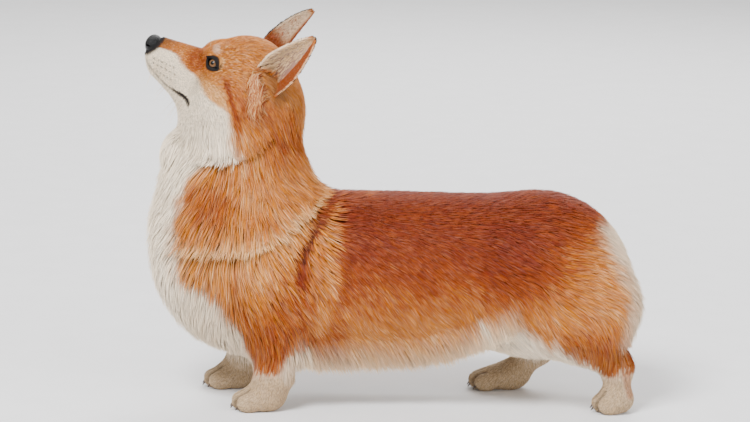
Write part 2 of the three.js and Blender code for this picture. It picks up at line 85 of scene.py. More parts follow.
# Each leg's top, its lower joint, the tip of its paw and the paw's length
LEGS = {
    "fore_left": {"top": (-156, -52, 118), "joint": (-160, -STANCE, 46),
                  "tip": (-214, -STANCE, 0), "paw": 68},
    "fore_right": {"top": (-176, 52, 118), "joint": (-196, STANCE, 46),
                   "tip": (-252, STANCE, 0), "paw": 66},
    "hind_left": {"top": (236, -STANCE, 120), "joint": (304, -STANCE, 64),
                  "tip": (273, -STANCE, 0), "paw": 53},
    "hind_right": {"top": (176, STANCE, 112), "joint": (212, STANCE, 60),
                   "tip": (115, STANCE, 0), "paw": 80},
}
# Radii at the top, the joint and the ankle
LEG_RADII = {"fore_left": (36, 25, 21), "fore_right": (36, 25, 21),
             "hind_left": (40, 21, 18), "hind_right": (40, 21, 19)}
TOES = (-1.5, -0.5, 0.5, 1.5)
TOE_WIDTH = 11.5

# Planes that part the regions, as a point and a normal
HEAD_PLANE = (np.array([-290.0, 0.0, 372.0]), np.array([-50.0, 0.0, 162.0]))
COLLAR_PLANE = (np.array([-330.0, 0.0, 258.0]), np.array([-54.0, 0.0, 235.0]))
GIRTH_PLANE = (np.array([-90.0, 0.0, 205.0]), np.array([-187.0, 0.0, 48.0]))
LOIN_PLANE = (np.array([120.0, 0.0, 180.0]), np.array([-1.0, 0.0, -0.08]))


# Points and ways

def unit(v):
    return v / np.maximum(np.linalg.norm(v, axis=-1, keepdims=True), 1e-9)


def ramp(start, end, v):
    t = np.clip((v - start) / (end - start), 0, 1)
    return t * t * (3 - 2 * t)


def mix(a, b, share):
    share = np.asarray(share)
    if np.ndim(a) > np.ndim(share):
        share = share[..., None]
    return a + (b - a) * share


def beyond(plane, p):
    """Distance on the side of a plane that its normal points to."""
    return (p - plane[0]) @ unit(plane[1])


def to_path(p, points):
    """Distance to a path, and how far along it from 0 to 1."""
    best = np.full(len(p), 1e9)
    place = np.zeros(len(p))
    for i, (a, b) in enumerate(zip(points[:-1], points[1:])):
        ab = b - a
        t = np.clip((p - a) @ ab / (ab @ ab), 0, 1)
        d = np.linalg.norm(p - a - t[:, None] * ab, axis=1)
        closer = d < best
        best[closer] = d[closer]
        place[closer] = ((i + t) / (len(points) - 1))[closer]
    return best, place


def wobble(p, size, seed, waves=5):
    """Smooth noise from -1 to 1 whose bumps are about size millimetres across."""
    rng = np.random.default_rng(seed)
    ways = unit(rng.normal(size=(waves, 3))) * (2 * math.pi / (2 * size))
    ways *= rng.uniform(0.7, 1.4, (waves, 1))
    return np.sin(p @ ways.T + rng.uniform(0, 2 * math.pi, waves)).sum(1) / (waves * 0.6)


HEAD_TURN = np.array([
    [-math.cos(math.radians(HEAD_PITCH)), 0, math.sin(math.radians(HEAD_PITCH))],
    [0, -1, 0],
    [math.sin(math.radians(HEAD_PITCH)), 0, math.cos(math.radians(HEAD_PITCH))],
])


def on_head(forward, left, up):
    """A point of the head's own frame in the maker's frame."""
    return HEAD_AT + np.array([forward, left, up], float) @ HEAD_TURN


def head_way(way):
    return np.array(way, float) @ HEAD_TURN


def in_head(p):
    """Points in the head's own frame: forward, left and up."""
    return (p - HEAD_AT) @ HEAD_TURN.T


eye_boxes = [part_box("eye_left"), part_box("eye_right")]
eye_middle = np.mean([np.array(corner) for pair in eye_boxes for corner in pair], axis=0)
SHIFT = eye_middle - (on_head(EYE_AT[0], 0, EYE_AT[2]) * MM)


# Fields: each takes points and gives roughly the distance to a rounded form, negative inside

def egg(centre, radii, pitch=0.0):
    """An egg with three radii, its front end tipped up by pitch degrees."""
    cp, sp = math.cos(math.radians(pitch)), math.sin(math.radians(pitch))
    turn = np.array([[cp, 0, sp], [0, 1, 0], [-sp, 0, cp]])
    c, r = np.array(centre, float), np.array(radii, float)

    def form(p):
        q = ((p - c) @ turn) / r
        k0 = np.sqrt(np.einsum("ij,ij->i", q, q))
        q /= r
        k1 = np.sqrt(np.einsum("ij,ij->i", q, q))
        return np.where(k1 > 1e-9, k0 * (k0 - 1) / np.maximum(k1, 1e-9), -r.min())
    return form


def limb(a, b, ra, rb, wide=1.0):
    """A round-ended bar from a to b; wide is its width against its height."""
    a, b = np.array(a, float), np.array(b, float)
    ab = b - a
    squash = np.array([1, 1 / wide, 1])

    def form(p):
        d = p - a
        t = np.clip(d @ ab / (ab @ ab), 0, 1)
        off = (d - t[:, None] * ab) * squash
        return (np.sqrt(np.einsum("ij,ij->i", off, off)) - ra - (rb - ra) * t) * min(1, wide)
    return form


def melt(k, a, b):
    """The nearer of two distances, blended over k millimetres where they meet."""
    h = np.maximum(k - np.abs(a - b), 0) / k
    return np.minimum(a, b) - h * h * k / 4


def body(k, *forms):
    """Several forms melted into one."""
    def form(p):
        d = forms[0](p)
        for other in forms[1:]:
            d = melt(k, d, other(p))
        return d
    return form


def both(form):
    """A form of the left side, on both sides."""
    def mirrored(p):
        q = p.copy()
        q[:, 1] = -np.abs(q[:, 1])
        return form(q)
    return mirrored


FAR = 70.0      # the least distance that is given for a point outside a form's box


def near(low, high, form):
    """A form that is only worked out in a box, where it can matter."""
    low, high = np.array(low, float), np.array(high, float)

    def form_near(p):
        off = np.maximum(np.maximum(low - p, p - high), 0)
        out = FAR + np.sqrt(np.einsum("ij,ij->i", off, off))
        inside = out <= FAR
        if inside.any():
            out[inside] = form(p[inside])
        return out
    return form_near


def head_egg(forward, left, up, radii):
    return egg(on_head(forward, left, up), radii, -HEAD_PITCH)


BARREL_AXIS = BACK - GIRTH
trunk = body(
    30,
    limb((-150, 0, BARREL_AXIS), (190, 0, BARREL_AXIS - 3), GIRTH, GIRTH - 2, 0.94),
    limb((-150, 0, BELLY + 94), (50, 0, BELLY + 96), 94, 80, 0.92),
    egg((-212, 0, 222), (-FRONT - 215, 88, 156)),
    both(egg((-158, -48, 180), (70, 50, 92), 12)),
    egg((203, 0, 172), (122, 88, 113)),
    both(egg((257, -46, 144), (REAR - 260, 50, 76), 12)),
)
neck = body(
    24,
    limb((-206, 0, 290), (-208, 0, 380), 84, 78, 0.9),
    egg((-236, 0, 322), (76, 66, 62)),
    egg((-182, 0, 408), (58, 62, 60)),
)
skull = body(
    12,
    head_egg(22, 0, 8, (62, 54, 53)),
    limb(on_head(60, 0, -10), on_head(132, 0, -2), 36, 22.5, 0.86),
    limb(on_head(45, 0, -44), on_head(127, 0, -21), 34, 15, 0.84),
    both(head_egg(26, 36, -20, (50, 34, 46))),
    both(head_egg(66, 22, 27, (17, 13, 11))),
    head_egg(28, 0, -50, (50, 50, 42)),
)
head_and_neck = near((-420, -180, 130), (-20, 180, 600), body(26, neck, skull))


def toe_at(tip, i):
    return (tip[0] + (20 if abs(i) > 1 else 13), tip[1] + i * TOE_WIDTH, 12.0)


def ankle_of(shape):
    return (shape["tip"][0] + shape["paw"] - 23, shape["tip"][1], 22)


def leg(name):
    shape = LEGS[name]
    top, joint, tip, paw = shape["top"], shape["joint"], shape["tip"], shape["paw"]
    upper, wrist, ankle = LEG_RADII[name]
    toes = [egg(toe_at(tip, i), (16, 8, 12.5)) for i in TOES]
    pad = egg((tip[0] + paw / 2 + 4, tip[1], 16.5), (paw / 2 - 4, 22, 18))
    whole = body(
        14,
        limb(top, joint, upper, wrist),
        limb(joint, ankle_of(shape), wrist - 2, ankle),
        near((tip[0] - 60, tip[1] - 80, -60), (tip[0] + paw + 60, tip[1] + 80, 110), body(6, pad, *toes)),
    )
    xs = [top[0], joint[0], tip[0], tip[0] + paw]
    return near((min(xs) - 100, tip[1] - 110, -80), (max(xs) + 100, tip[1] + 110, 230), whole)


legs = [leg(name) for name in LEGS]


def off_trunk(p):
    """How much nearer the nearest leg is than the trunk."""
    limbs = legs[0](p)
    for other in legs[1:]:
        limbs = np.minimum(limbs, other(p))
    return trunk(p) - limbs


# Relief of the long coat, as side-view paths of places along the dog and heights
TIER = [(-291, 229), (-245, 225), (-192, 230), (-161, 245), (-138, 263), (-109, 286), (-92, 297)]
CHEEK_TIER = [(-258, 350), (-224, 353), (-205, 360), (-191, 368), (-181, 381), (-174, 391)]
FOLD = [(-92, 297), (-106, 275), (-119, 249), (-129, 225), (-134, 193)]
STREAK = [(-85, 289), (-87, 271), (-91, 235), (-95, 206), (-104, 167), (-111, 132)]
TIERS = ((TIER, 4.5), (CHEEK_TIER, 4.0))


def from_stroke(p, path):
    """Distance to a path in the side view."""
    return to_path(p * (1, 0, 1), np.array([(x, 0, z) for x, z in path], float))[0]


def from_spot(p, x, z):
    """Distance to a spot in the side view."""
    return np.hypot(p[:, 0] - x, p[:, 2] - z)


def over_tier(p, tier):
    """Height over a tier of hair tips, and 0 to 1 for how much of the tier is there."""
    xs, zs = np.array(tier, float).T
    flat = p * (1, 0, 1)
    locks = 3.5 * wobble(flat, 8, 21, 4) + 3.5 * wobble(flat, 22, 22, 4)
    over = p[:, 2] - np.interp(p[:, 0], xs, zs) + locks
    reach = ramp(xs[0] - 14, xs[0] + 10, p[:, 0]) * ramp(xs[-1] + 10, xs[-1] - 14, p[:, 0])
    return over, reach * ramp(25, 60, np.abs(p[:, 1]))


def tier_relief(p):
    """How far the coat stands out over a tier's tips, and in under them."""
    out = np.zeros(len(p))
    for tier, height in TIERS:
        over, reach = over_tier(p, tier)
        step = ramp(-4, 5, over) * ramp(62, 5, over) - 0.15 * ramp(4, -5, over) * ramp(-46, -8, over)
        out += height * step * reach
    return out


def relief(p):
    """How far the long coat stands out: at its tiers, at the throat and round the shoulder's fold."""
    out = np.zeros(len(p))
    front = np.nonzero(p[:, 0] < -60)[0]
    if len(front):
        q = p[front]
        side = ramp(35, 70, np.abs(q[:, 1]))
        fold = 1.5 * ramp(20, 6, from_stroke(q, STREAK)) - 7 * ramp(17, 3, from_stroke(q, FOLD))
        throat = 7 * ramp(30, 6, from_spot(q, -306, 350)) * ramp(48, 20, np.abs(q[:, 1]))
        out[front] = tier_relief(q) + fold * side + throat
    return out


def outline(p):
    """The dog's outline, out to the tips of its coat."""
    d = melt(26, trunk(p), head_and_neck(p))
    for form in legs:
        d = melt(26, d, form(p))
    return d - relief(p)


# How deep the coat is, at its deepest
BIB = 14.0
RUFF = 10.0
BREECHES = 12.0


def coat_depth(p):
    """How far the skin lies under the outline: deep in the ruff, bib and breeches, thin on face and feet."""
    x, z = p[:, 0], p[:, 2]
    above = beyond(HEAD_PLANE, p)
    forward = in_head(p)[:, 0]
    under = ramp(-4, 30, -above)
    bib = BIB * ramp(-150, -240, x) * ramp(50, 90, z)
    ruff = RUFF * ramp(-90, -160, x) * ramp(215, 262, z)
    breeches = BREECHES * ramp(262, 315, x) * ramp(66, 110, z) * ramp(250, 205, z)
    deep = np.maximum(np.maximum(bib, ruff) * under, breeches)
    deep = np.maximum(deep, 6.0)
    short = 3.4 - 2.4 * ramp(20, 95, forward)
    deep = mix(deep, short, ramp(-14, 22, above))
    thin = 1.0 + 2.4 * ramp(34, 84, z)
    return mix(deep, thin, ramp(2, 30, off_trunk(p)))


# Face: eyes, lids and lips
LID_HALF = 11.4
LID_UPPER = 6.7
LID_LOWER = 6.1
LID_POINT = 1.8     # 2 gives round arcs, 1 a diamond
LID_SHELL = 2.4
LIP_GROOVE = 1.2


def eye_frame(side):
    """Centre of an eye and the ways out, towards its front corner and up."""
    out = unit(head_way((EYE_AXIS[0], side * EYE_AXIS[1], EYE_AXIS[2])))
    up = head_way((0, 0, 1))
    front = unit(head_way((1, 0, 0)) - out * (head_way((1, 0, 0)) @ out))
    lift = np.cross(out, front) * np.sign(np.cross(out, front) @ up)
    turn = math.radians(EYE_TILT)
    corner = front * math.cos(turn) + lift * math.sin(turn)
    lift = lift * math.cos(turn) - front * math.sin(turn)
    return on_head(EYE_AT[0], side * EYE_AT[1], EYE_AT[2]), out, corner, lift


def lid_opening(p, side):
    """Distance to the almond between an eye's lids, and how far a point is in front of the eye's centre."""
    centre, out, front, lift = eye_frame(side)
    d = p - centre
    a, b, c = d @ front, d @ lift, d @ out
    tall = np.where(b > 0, LID_UPPER, LID_LOWER)
    return (np.abs(b / tall) + np.abs(a / LID_HALF) ** LID_POINT - 1) * LID_LOWER, c


def lip_points(side):
    return np.array([on_head(f, side * l, u) for f, l, u in LIPS])


def slopes(field, p, value=None):
    """The way in which a field grows fastest."""
    reach = 0.4
    value = field(p) if value is None else value
    return np.stack([(field(p + step) - value) / reach for step in np.eye(3) * reach], axis=1)


def settle(field, p, height=0.0, steps=2):
    """Moves points along the field's slope until the field is height there."""
    for _ in range(steps):
        value = field(p)
        g = slopes(field, p, value)
        p = p + g * ((height - value) / np.maximum(np.einsum("ij,ij->i", g, g), 0.1))[:, None]
    return p


def smooth_skin(p):
    """The skin before its lids and lips: the outline less the coat's depth."""
    return outline(p) + coat_depth(p)


LIP_PATHS = {side: settle(smooth_skin, lip_points(side), 0.0, 4) for side in (1, -1)}


def skin_field(p):
    """The skin, with lids and lips on the face and flat soles."""
    d = smooth_skin(p)
    face = np.nonzero(beyond(HEAD_PLANE, p) > 0)[0]
    face = face[np.abs(d[face]) < 24]
    if len(face):
        q = p[face]
        f = d[face]
        for side in (1, -1):
            ball = np.linalg.norm(q - eye_frame(side)[0], axis=1)
            f = melt(5, f, ball - EYE_R - LID_SHELL)
            opening, ahead = lid_opening(q, side)
            f = np.maximum(f, -np.maximum(opening, 3 - ahead))
            f = np.maximum(f, LIP_GROOVE - to_path(q, LIP_PATHS[side])[0])
        d[face] = f
    return np.maximum(d, -p[:, 2])


WRAP_BATCH = 150000     # points that are worked out at a time, to spare memory


def wrap(field, axes, block=4):
    """Wraps the zero surface of a field in four-sided faces. Only blocks near the surface are worked out."""
    n = [len(a) for a in axes]
    centres = []
    for a in axes:
        starts = np.arange(0, len(a), block)
        ends = np.minimum(starts + block, len(a) - 1)
        centres.append((a[starts] + a[ends]) / 2)
    blocks = np.stack(np.meshgrid(*centres, indexing="ij"), -1).reshape(-1, 3)
    value = field(blocks).reshape([len(c) for c in centres])
    reach = 0.75 * math.sqrt(sum((np.diff(a).max() * block) ** 2 for a in axes))
    near_surface = np.abs(value) < reach
    whole = np.where(value < 0, -1e3, 1e3)
    for axis in range(3):
        whole = np.repeat(whole, block, axis)
        near_surface = np.repeat(near_surface, block, axis)
    keep = tuple(slice(0, count) for count in n)
    whole, near_surface = whole[keep].copy(), near_surface[keep].copy()
    for axis in range(3):
        shifted = np.roll(near_surface, 1, axis)
        near_surface |= shifted
    at = np.nonzero(near_surface)
    points = np.stack([axes[i][at[i]] for i in range(3)], -1)
    for start in range(0, len(points), WRAP_BATCH):
        part = slice(start, start + WRAP_BATCH)
        whole[at[0][part], at[1][part], at[2][part]] = field(points[part])
    cell_ids, crossings, quads = [], [], []
    strides = np.array([n[1] * n[2], n[2], 1])
    for axis in range(3):
        b, c = (axis + 1) % 3, (axis + 2) % 3
        first = [slice(0, count) for count in n]
        second = [slice(0, count) for count in n]
        first[axis] = slice(0, n[axis] - 1)
        second[axis] = slice(1, n[axis])
        va, vb = whole[tuple(first)], whole[tuple(second)]
        index = np.stack(np.nonzero((va < 0) != (vb < 0)), -1)
        index = index[(index[:, b] > 0) & (index[:, c] > 0)]
        index = index[(index[:, b] < n[b] - 1) & (index[:, c] < n[c] - 1)]
        where = tuple(index.T)
        a_value, b_value = va[where], vb[where]
        t = a_value / (a_value - b_value)
        p = np.stack([axes[i][index[:, i]] for i in range(3)], -1)
        p[:, axis] += t * (axes[axis][index[:, axis] + 1] - axes[axis][index[:, axis]])
        corners = []
        for db, dc in ((0, 0), (1, 0), (1, 1), (0, 1)):
            cell = index.copy()
            cell[:, b] -= db
            cell[:, c] -= dc
            corners.append(cell @ strides)
        corners = np.stack(corners, -1)
        turned = a_value >= 0
        quads.append(np.where(turned[:, None], corners[:, ::-1], corners))
        cell_ids.append(corners.reshape(-1))
        crossings.append(np.repeat(p, 4, axis=0))
    ids, inverse = np.unique(np.concatenate(cell_ids), return_inverse=True)
    crossings = np.concatenate(crossings)
    count = np.bincount(inverse)
    verts = np.stack([np.bincount(inverse, crossings[:, i]) / count for i in range(3)], -1)
    faces = np.searchsorted(ids, np.concatenate(quads))
    cell = np.stack([ids // strides[0], ids % strides[0] // strides[1], ids % strides[1]], -1)
    size = np.stack([np.diff(axes[i])[np.minimum(cell[:, i], n[i] - 2)] for i in range(3)], -1)
    settled = settle(field, verts, 0.0, 2)
    verts = verts + np.clip(settled - verts, -size * 0.7, size * 0.7)
    return verts, faces


# Meshes

def linear(code):
    """An sRGB hex colour as linear red, green, blue."""
    srgb = [int(code[i:i + 2], 16) / 255 for i in (0, 2, 4)]
    return tuple(c / 12.92 if c <= 0.04045 else ((c + 0.055) / 1.055) ** 2.4 for c in srgb)


def to_frame(p):
    return np.asarray(p, float) * MM + SHIFT


def make_piece(name, verts, faces, material, slot, replaced=()):
    """A mesh piece from points in millimetres and faces of one size, riding on the root body."""
    mesh = bpy.data.meshes.new(name)
    faces = np.asarray(faces, np.int32)
    corners = faces.shape[1]
    mesh.vertices.add(len(verts))
    mesh.vertices.foreach_set("co", to_frame(verts).astype(np.float32).ravel())
    mesh.loops.add(faces.size)
    mesh.loops.foreach_set("vertex_index", faces.ravel())
    mesh.polygons.add(len(faces))
    mesh.polygons.foreach_set("loop_start", np.arange(0, faces.size, corners, dtype=np.int32))
    mesh.polygons.foreach_set("loop_total", np.full(len(faces), corners, np.int32))
    mesh.polygons.foreach_set("use_smooth", np.full(len(faces), True))
    mesh.update(calc_edges=True)
    mesh.materials.append(material)
    piece = bpy.data.objects.new(name, mesh)
    bpy.context.scene.collection.objects.link(piece)
    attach(piece, "root")
    if replaced:
        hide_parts(*replaced)
    return piece


def paint(piece, name, values):
    """Stores four numbers for each point of a piece."""
    attribute = piece.data.attributes.new(name, "FLOAT_COLOR", "POINT")
    attribute.data.foreach_set("color", np.asarray(values, np.float32).ravel())


def tube(points, radii, sides, closed=False):
    """A round bar through points, with flat ends, or a ring."""
    points, n = np.asarray(points, float), len(points)
    if closed:
        ahead = unit(np.roll(points, -1, 0) - np.roll(points, 1, 0))
    else:
        ahead = unit(np.gradient(points, axis=0))
    aside = unit(np.cross(ahead, np.where(np.abs(ahead[:, 1:2]) < 0.9, [[0, 1, 0]], [[0, 0, 1]])))
    over = np.cross(ahead, aside)
    turn = np.arange(sides) / sides * 2 * math.pi
    ring = aside[:, None] * np.cos(turn)[:, None] + over[:, None] * np.sin(turn)[:, None]
    verts = points[:, None] + ring * np.asarray(radii, float)[:, None, None]
    faces = []
    for r in range(n if closed else n - 1):
        a, b = r * sides, (r + 1) % n * sides
        for i in range(sides):
            j = (i + 1) % sides
            faces += [(a + i, a + j, b + j), (a + i, b + j, b + i)]
    if not closed:
        for i in range(1, sides - 1):
            last = (n - 1) * sides
            faces += [(0, i + 1, i), (last, last + i, last + i + 1)]
    return verts.reshape(-1, 3), np.array(faces)


def outward(verts, faces):
    """Faces of a rounded mesh, turned so that they look outward."""
    a, b, c = (verts[faces[:, i]] for i in range(3))
    out = np.einsum("ij,ij->", a - verts.mean(0), np.cross(b - a, c - a))
    return faces if out > 0 else faces[:, ::-1]


def gather(parts):
    """Several meshes as one."""
    offsets = np.cumsum([0] + [len(v) for v, _ in parts[:-1]])
    return np.concatenate([v for v, _ in parts]), np.concatenate([f + o for (_, f), o in zip(parts, offsets)])


# Markings: how white, how golden, how sandy and how dark the coat is at each point, from 0 to 1

# Where the white of the muzzle, cheek and bib ends in the side view, as height and place along the dog
WHITE_EDGE = [(489, -420), (484, -318), (477, -297), (458, -283), (452, -272), (445, -266), (428, -257),
              (420, -243), (411, -229), (395, -224), (375, -220), (356, -214), (349, -226), (343, -250),
              (334, -262), (314, -274), (282, -280), (256, -285), (234, -288), (202, -283), (191, -266),
              (174, -238), (137, -215), (115, -208), (88, -192), (63, -187), (40, -187)]
# Height below which groin and hind legs are white, as place along the dog and height
LOW_EDGE = [(40, 50), (77, 84), (100, 116), (117, 134), (162, 124), (207, 104), (268, 78), (282, 59),
            (296, 50), (309, 56), (330, 62)]
# Where the pale breeches begin, as height and place along the dog
BREECHES_EDGE = [(95, 330), (114, 300), (142, 300), (177, 294), (211, 280), (238, 264), (258, 262)]
# Where the pale feather behind a foreleg begins, as height and place along the dog
FEATHER_EDGE = [(42, -157), (81, -153), (103, -142), (120, -130)]
# The dark line behind the pale cheek, partly its border and partly painted shade in the crease there, as
# forward and up on the head
CHEEK_LINE = [(49, 7), (36, -9), (21, -27), (10, -46), (5, -66)]
# Side-view paths, as place along the dog and height: a hollow before the ear, painted dark as shade, and a
# red streak down a hind leg
EAR_HOLLOW_SHADE = [(-176, 460), (-173, 446), (-166, 431)]
PASTERN_STREAK = [(312, 62), (320, 28)]
# Rows of whiskers: front and rear end of each in the head's frame
WHISKER_ROWS = [((140, 16, -9), (112, 24, -10)), ((139, 14, -15), (108, 24, -18)),
                ((136, 12, -23), (110, 22, -27))]
WHISKERS_A_ROW = 6


def along_edge(edge, v):
    """The second number of an edge's points where the first is v."""
    table = np.array(sorted(edge), float)
    return np.interp(v, table[:, 0], table[:, 1])


def whisker_spots():
    share = np.linspace(0, 1, WHISKERS_A_ROW)[:, None]
    return np.concatenate([np.array(a) + (np.array(b) - np.array(a)) * share for a, b in WHISKER_ROWS])


def tone_at(p, h, above):
    """How golden the coat's red is, from 0 on the deep back to 1 at pale tips."""
    x, z = p[:, 0], p[:, 2]
    # Body: deep on the back, golden low down, with rump, thigh and flank on their own
    tone = 0.08 + 0.66 * ramp(272, 92, z + 13 * wobble(p, 42, 7))
    tone = mix(tone, 0.72, ramp(170, 285, x) * ramp(290, 220, z))
    tone = mix(tone, 0.48, ramp(190, 225, x) * ramp(156, 116, z))
    tone = tone - 0.16 * ramp(75, 20, from_spot(p, 140, 205))
    # Ruff: paler towards the tips of its tier, and darker under them
    over, reach = over_tier(p, TIER)
    ruff = 0.66 + 0.32 * ramp(34, 2, over) - 0.18 * ramp(42, 14, from_spot(p, -238, 302))
    under = 0.74 - 0.3 * ramp(0, -110, over)
    ahead = ramp(-72, -98, x + 0.1 * (z - 200))
    tone = mix(tone, np.where(over > 0, ruff, under), ahead)
    # The shoulder's fold, darkened as painted shade in its crease; the withers; the neck behind the ear,
    # darkened as the ear's painted shadow; the nape, paled as painted rim light; and the hock
    tone = tone - 0.5 * ramp(13, 3, from_stroke(p, FOLD)) + 0.2 * ramp(12, 3, from_stroke(p, STREAK))
    tone = mix(tone, 0.95, 0.8 * ramp(30, 8, from_spot(p, -56, 296)))
    tone = mix(tone, 0.02, 0.9 * ramp(30, 6, from_spot(p, -58, 268)))
    # Painted shadow of the ear on the neck behind it
    tone = mix(tone, 0.42, 0.8 * ramp(48, 16, from_spot(p, -160, 388)))
    # Painted rim light along the back of the neck
    tone = mix(tone, 1.0, 0.7 * ramp(-136, -124, x) * ramp(312, 335, z))
    tone = mix(tone, 0.25, 0.8 * ramp(16, 5, from_spot(p, 318, 93)))
    # Head: darker before the eye and on the bridge, pale on the cheek and round the eye, with a dark line
    # behind the cheek that is partly its border and partly painted shade in the crease
    face = 0.66 - 0.24 * ramp(22, 8, np.hypot(h[:, 0] - 86, h[:, 2] - 10)) - 0.08 * ramp(95, 125, h[:, 0])
    flat = h * (1, 0, 1)
    line = to_path(flat, np.array([(f, 0, u) for f, u in CHEEK_LINE], float))[0]
    line_forward, line_up = np.array(CHEEK_LINE[::-1], float).T
    ahead_of_line = np.interp(h[:, 2], line_up, line_forward) - h[:, 0]
    pale = ramp(-4, -14, ahead_of_line) * ramp(2, -14, h[:, 2]) * ramp(92, 70, h[:, 0])
    behind = ramp(0, 14, ahead_of_line) * ramp(14, -14, h[:, 2])
    face = mix(face, 1.0, 0.75 * pale) - 0.22 * behind - 0.35 * ramp(5, 1.5, line) * ramp(8, 0, h[:, 2])
    for side in (1, -1):
        opening, ahead = lid_opening(p, side)
        ring = ramp(9, 6, opening) * ramp(2.5, 4, opening) * (ahead > 0)
        face = mix(face, 1.0, 0.7 * ring * ramp(64, 54, h[:, 0]))
    return mix(tone, face, ramp(-10, 12, above))


def markings(p):
    """White, tone, sand and dark of the coat at each point."""
    x, y, z = p[:, 0], np.abs(p[:, 1]), p[:, 2]
    h = in_head(p)
    above = beyond(HEAD_PLANE, p)
    on_head_share = ramp(-4, 12, above)
    # White, with ragged edges
    ragged = wobble(p, 15, 3) * 5 + wobble(p, 5, 4) * 3
    reach = along_edge(WHITE_EDGE, z) - x + ragged * mix(1.0, 0.35, on_head_share)
    soft = mix(9.0, 5.0, on_head_share)
    white = ramp(-1, 1, reach / soft)
    low = z + ragged * 1.5
    rear = ramp(40, 70, x)
    groin = ramp(-15, 8, along_edge(LOW_EDGE, x) - low) * rear
    breeches = ramp(-14, 32, x - along_edge(BREECHES_EDGE, z) + ragged) * ramp(268, 250, z) * ramp(92, 108, z)
    inner = ramp(50, 34, y) * ramp(160, 100, z) * ramp(-250, -240, x)
    on_leg = ramp(2, 20, off_trunk(p))
    foot = ramp(60, 48, z + ragged * 0.8) * on_leg
    feather = ramp(-4, 6, x - along_edge(FEATHER_EDGE, z) + ragged * 0.5)
    feather *= ramp(112, 100, z) * ramp(-114, -124, x) * ramp(30, 44, y)
    belly = ramp(74, 58, low) * ramp(-260, -190, x)
    far_leg = np.where(p[:, 1] > 0, on_leg * ramp(112, 92, low), 0)
    white = np.maximum.reduce([white, groin, 0.95 * breeches, 0.85 * inner, 0.8 * foot, 0.75 * feather,
                               0.65 * belly, 0.8 * far_leg])
    streak = 0.75 * ramp(10, 3, from_stroke(p, PASTERN_STREAK)) * on_leg
    white = white * (1 - streak)
    brow = ramp(7, 3, np.linalg.norm(h * (1, 0, 1) - (68, 0, 33), axis=1)) * ramp(14, 24, np.abs(h[:, 1]))
    white = np.clip(np.maximum(white, 0.28 * brow), 0, 1)

    # Tone and sand
    tone = tone_at(p, h, above)
    tone = mix(tone, 0.46, on_leg * ramp(-100, -120, x) * ramp(150, 110, z))
    # Low on the white bib the coat turns sandy: painted shade on the lower chest
    bib_painted_shade = ramp(230, 150, z) * ramp(-300, -270, x) * white * ramp(-150, -190, x)
    sand = np.maximum.reduce([foot * 0.85, 0.35 * feather, 0.5 * belly, 0.3 * breeches, 0.3 * far_leg,
                               0.3 * bib_painted_shade]) * (1 - streak)

    # Dark: behind the nose and on lids, lips and whisker spots; painted shade in the hollow before the ear,
    # in the fold and between toes
    dark = 0.45 * ramp(26, 10, np.linalg.norm(h - (140, 0, 17), axis=1))
    # Painted shade in the hollow before the ear
    dark = np.maximum(dark, 0.42 * ramp(15, 6, from_stroke(p, EAR_HOLLOW_SHADE)) * on_head_share)
    # Painted shade in the crease of the shoulder's fold
    dark = np.maximum(dark, 0.6 * ramp(9, 2, from_stroke(p, FOLD[:4])) * ramp(40, 70, y) * (above < 0))
    dark = np.maximum(dark, 0.2 * ramp(195, 220, x) * ramp(128, 108, z) * ramp(60, 74, z) * (1 - white))
    # Painted shade in the gaps between the toes
    for shape in LEGS.values():
        for gap in (-1, 0, 1):
            beside = p[:, 1] - shape["tip"][1] - gap * TOE_WIDTH
            ahead = np.maximum(np.abs(x - shape["tip"][0] - 9) - 13, 0)
            dark = np.maximum(dark, 0.5 * ramp(3.2, 0.8, np.hypot(beside, ahead)) * (z < 34))
    for side in (1, -1):
        opening, ahead = lid_opening(p, side)
        dark = np.maximum(dark, ramp(5.4, 3.6, opening) * (ahead > 0))
        gap, along = to_path(p, LIP_PATHS[side])
        lip = ramp(1.6 + 3.6 * along ** 2, 0.8 + 2.0 * along ** 2, gap)
        dark = np.maximum(dark, lip * (0.45 + 0.55 * ramp(0.45, 0.75, along)))
    dark = np.maximum(dark, ramp(18.5, 15.5, np.linalg.norm(h - NOSE_AT, axis=1)))
    near_muzzle = np.nonzero((h[:, 0] > 104) & (above > 0))[0]
    if len(near_muzzle):
        spots = whisker_spots() * (1, 0, 1)
        away = np.linalg.norm((h[near_muzzle] * (1, 0, 1))[:, None] - spots, axis=2).min(1)
        dark[near_muzzle] = np.maximum(dark[near_muzzle], 0.75 * ramp(1.7, 0.9, away))
    return np.stack([white, np.clip(tone, 0, 1), np.clip(sand, 0, 1), np.clip(dark, 0, 1)], 1)


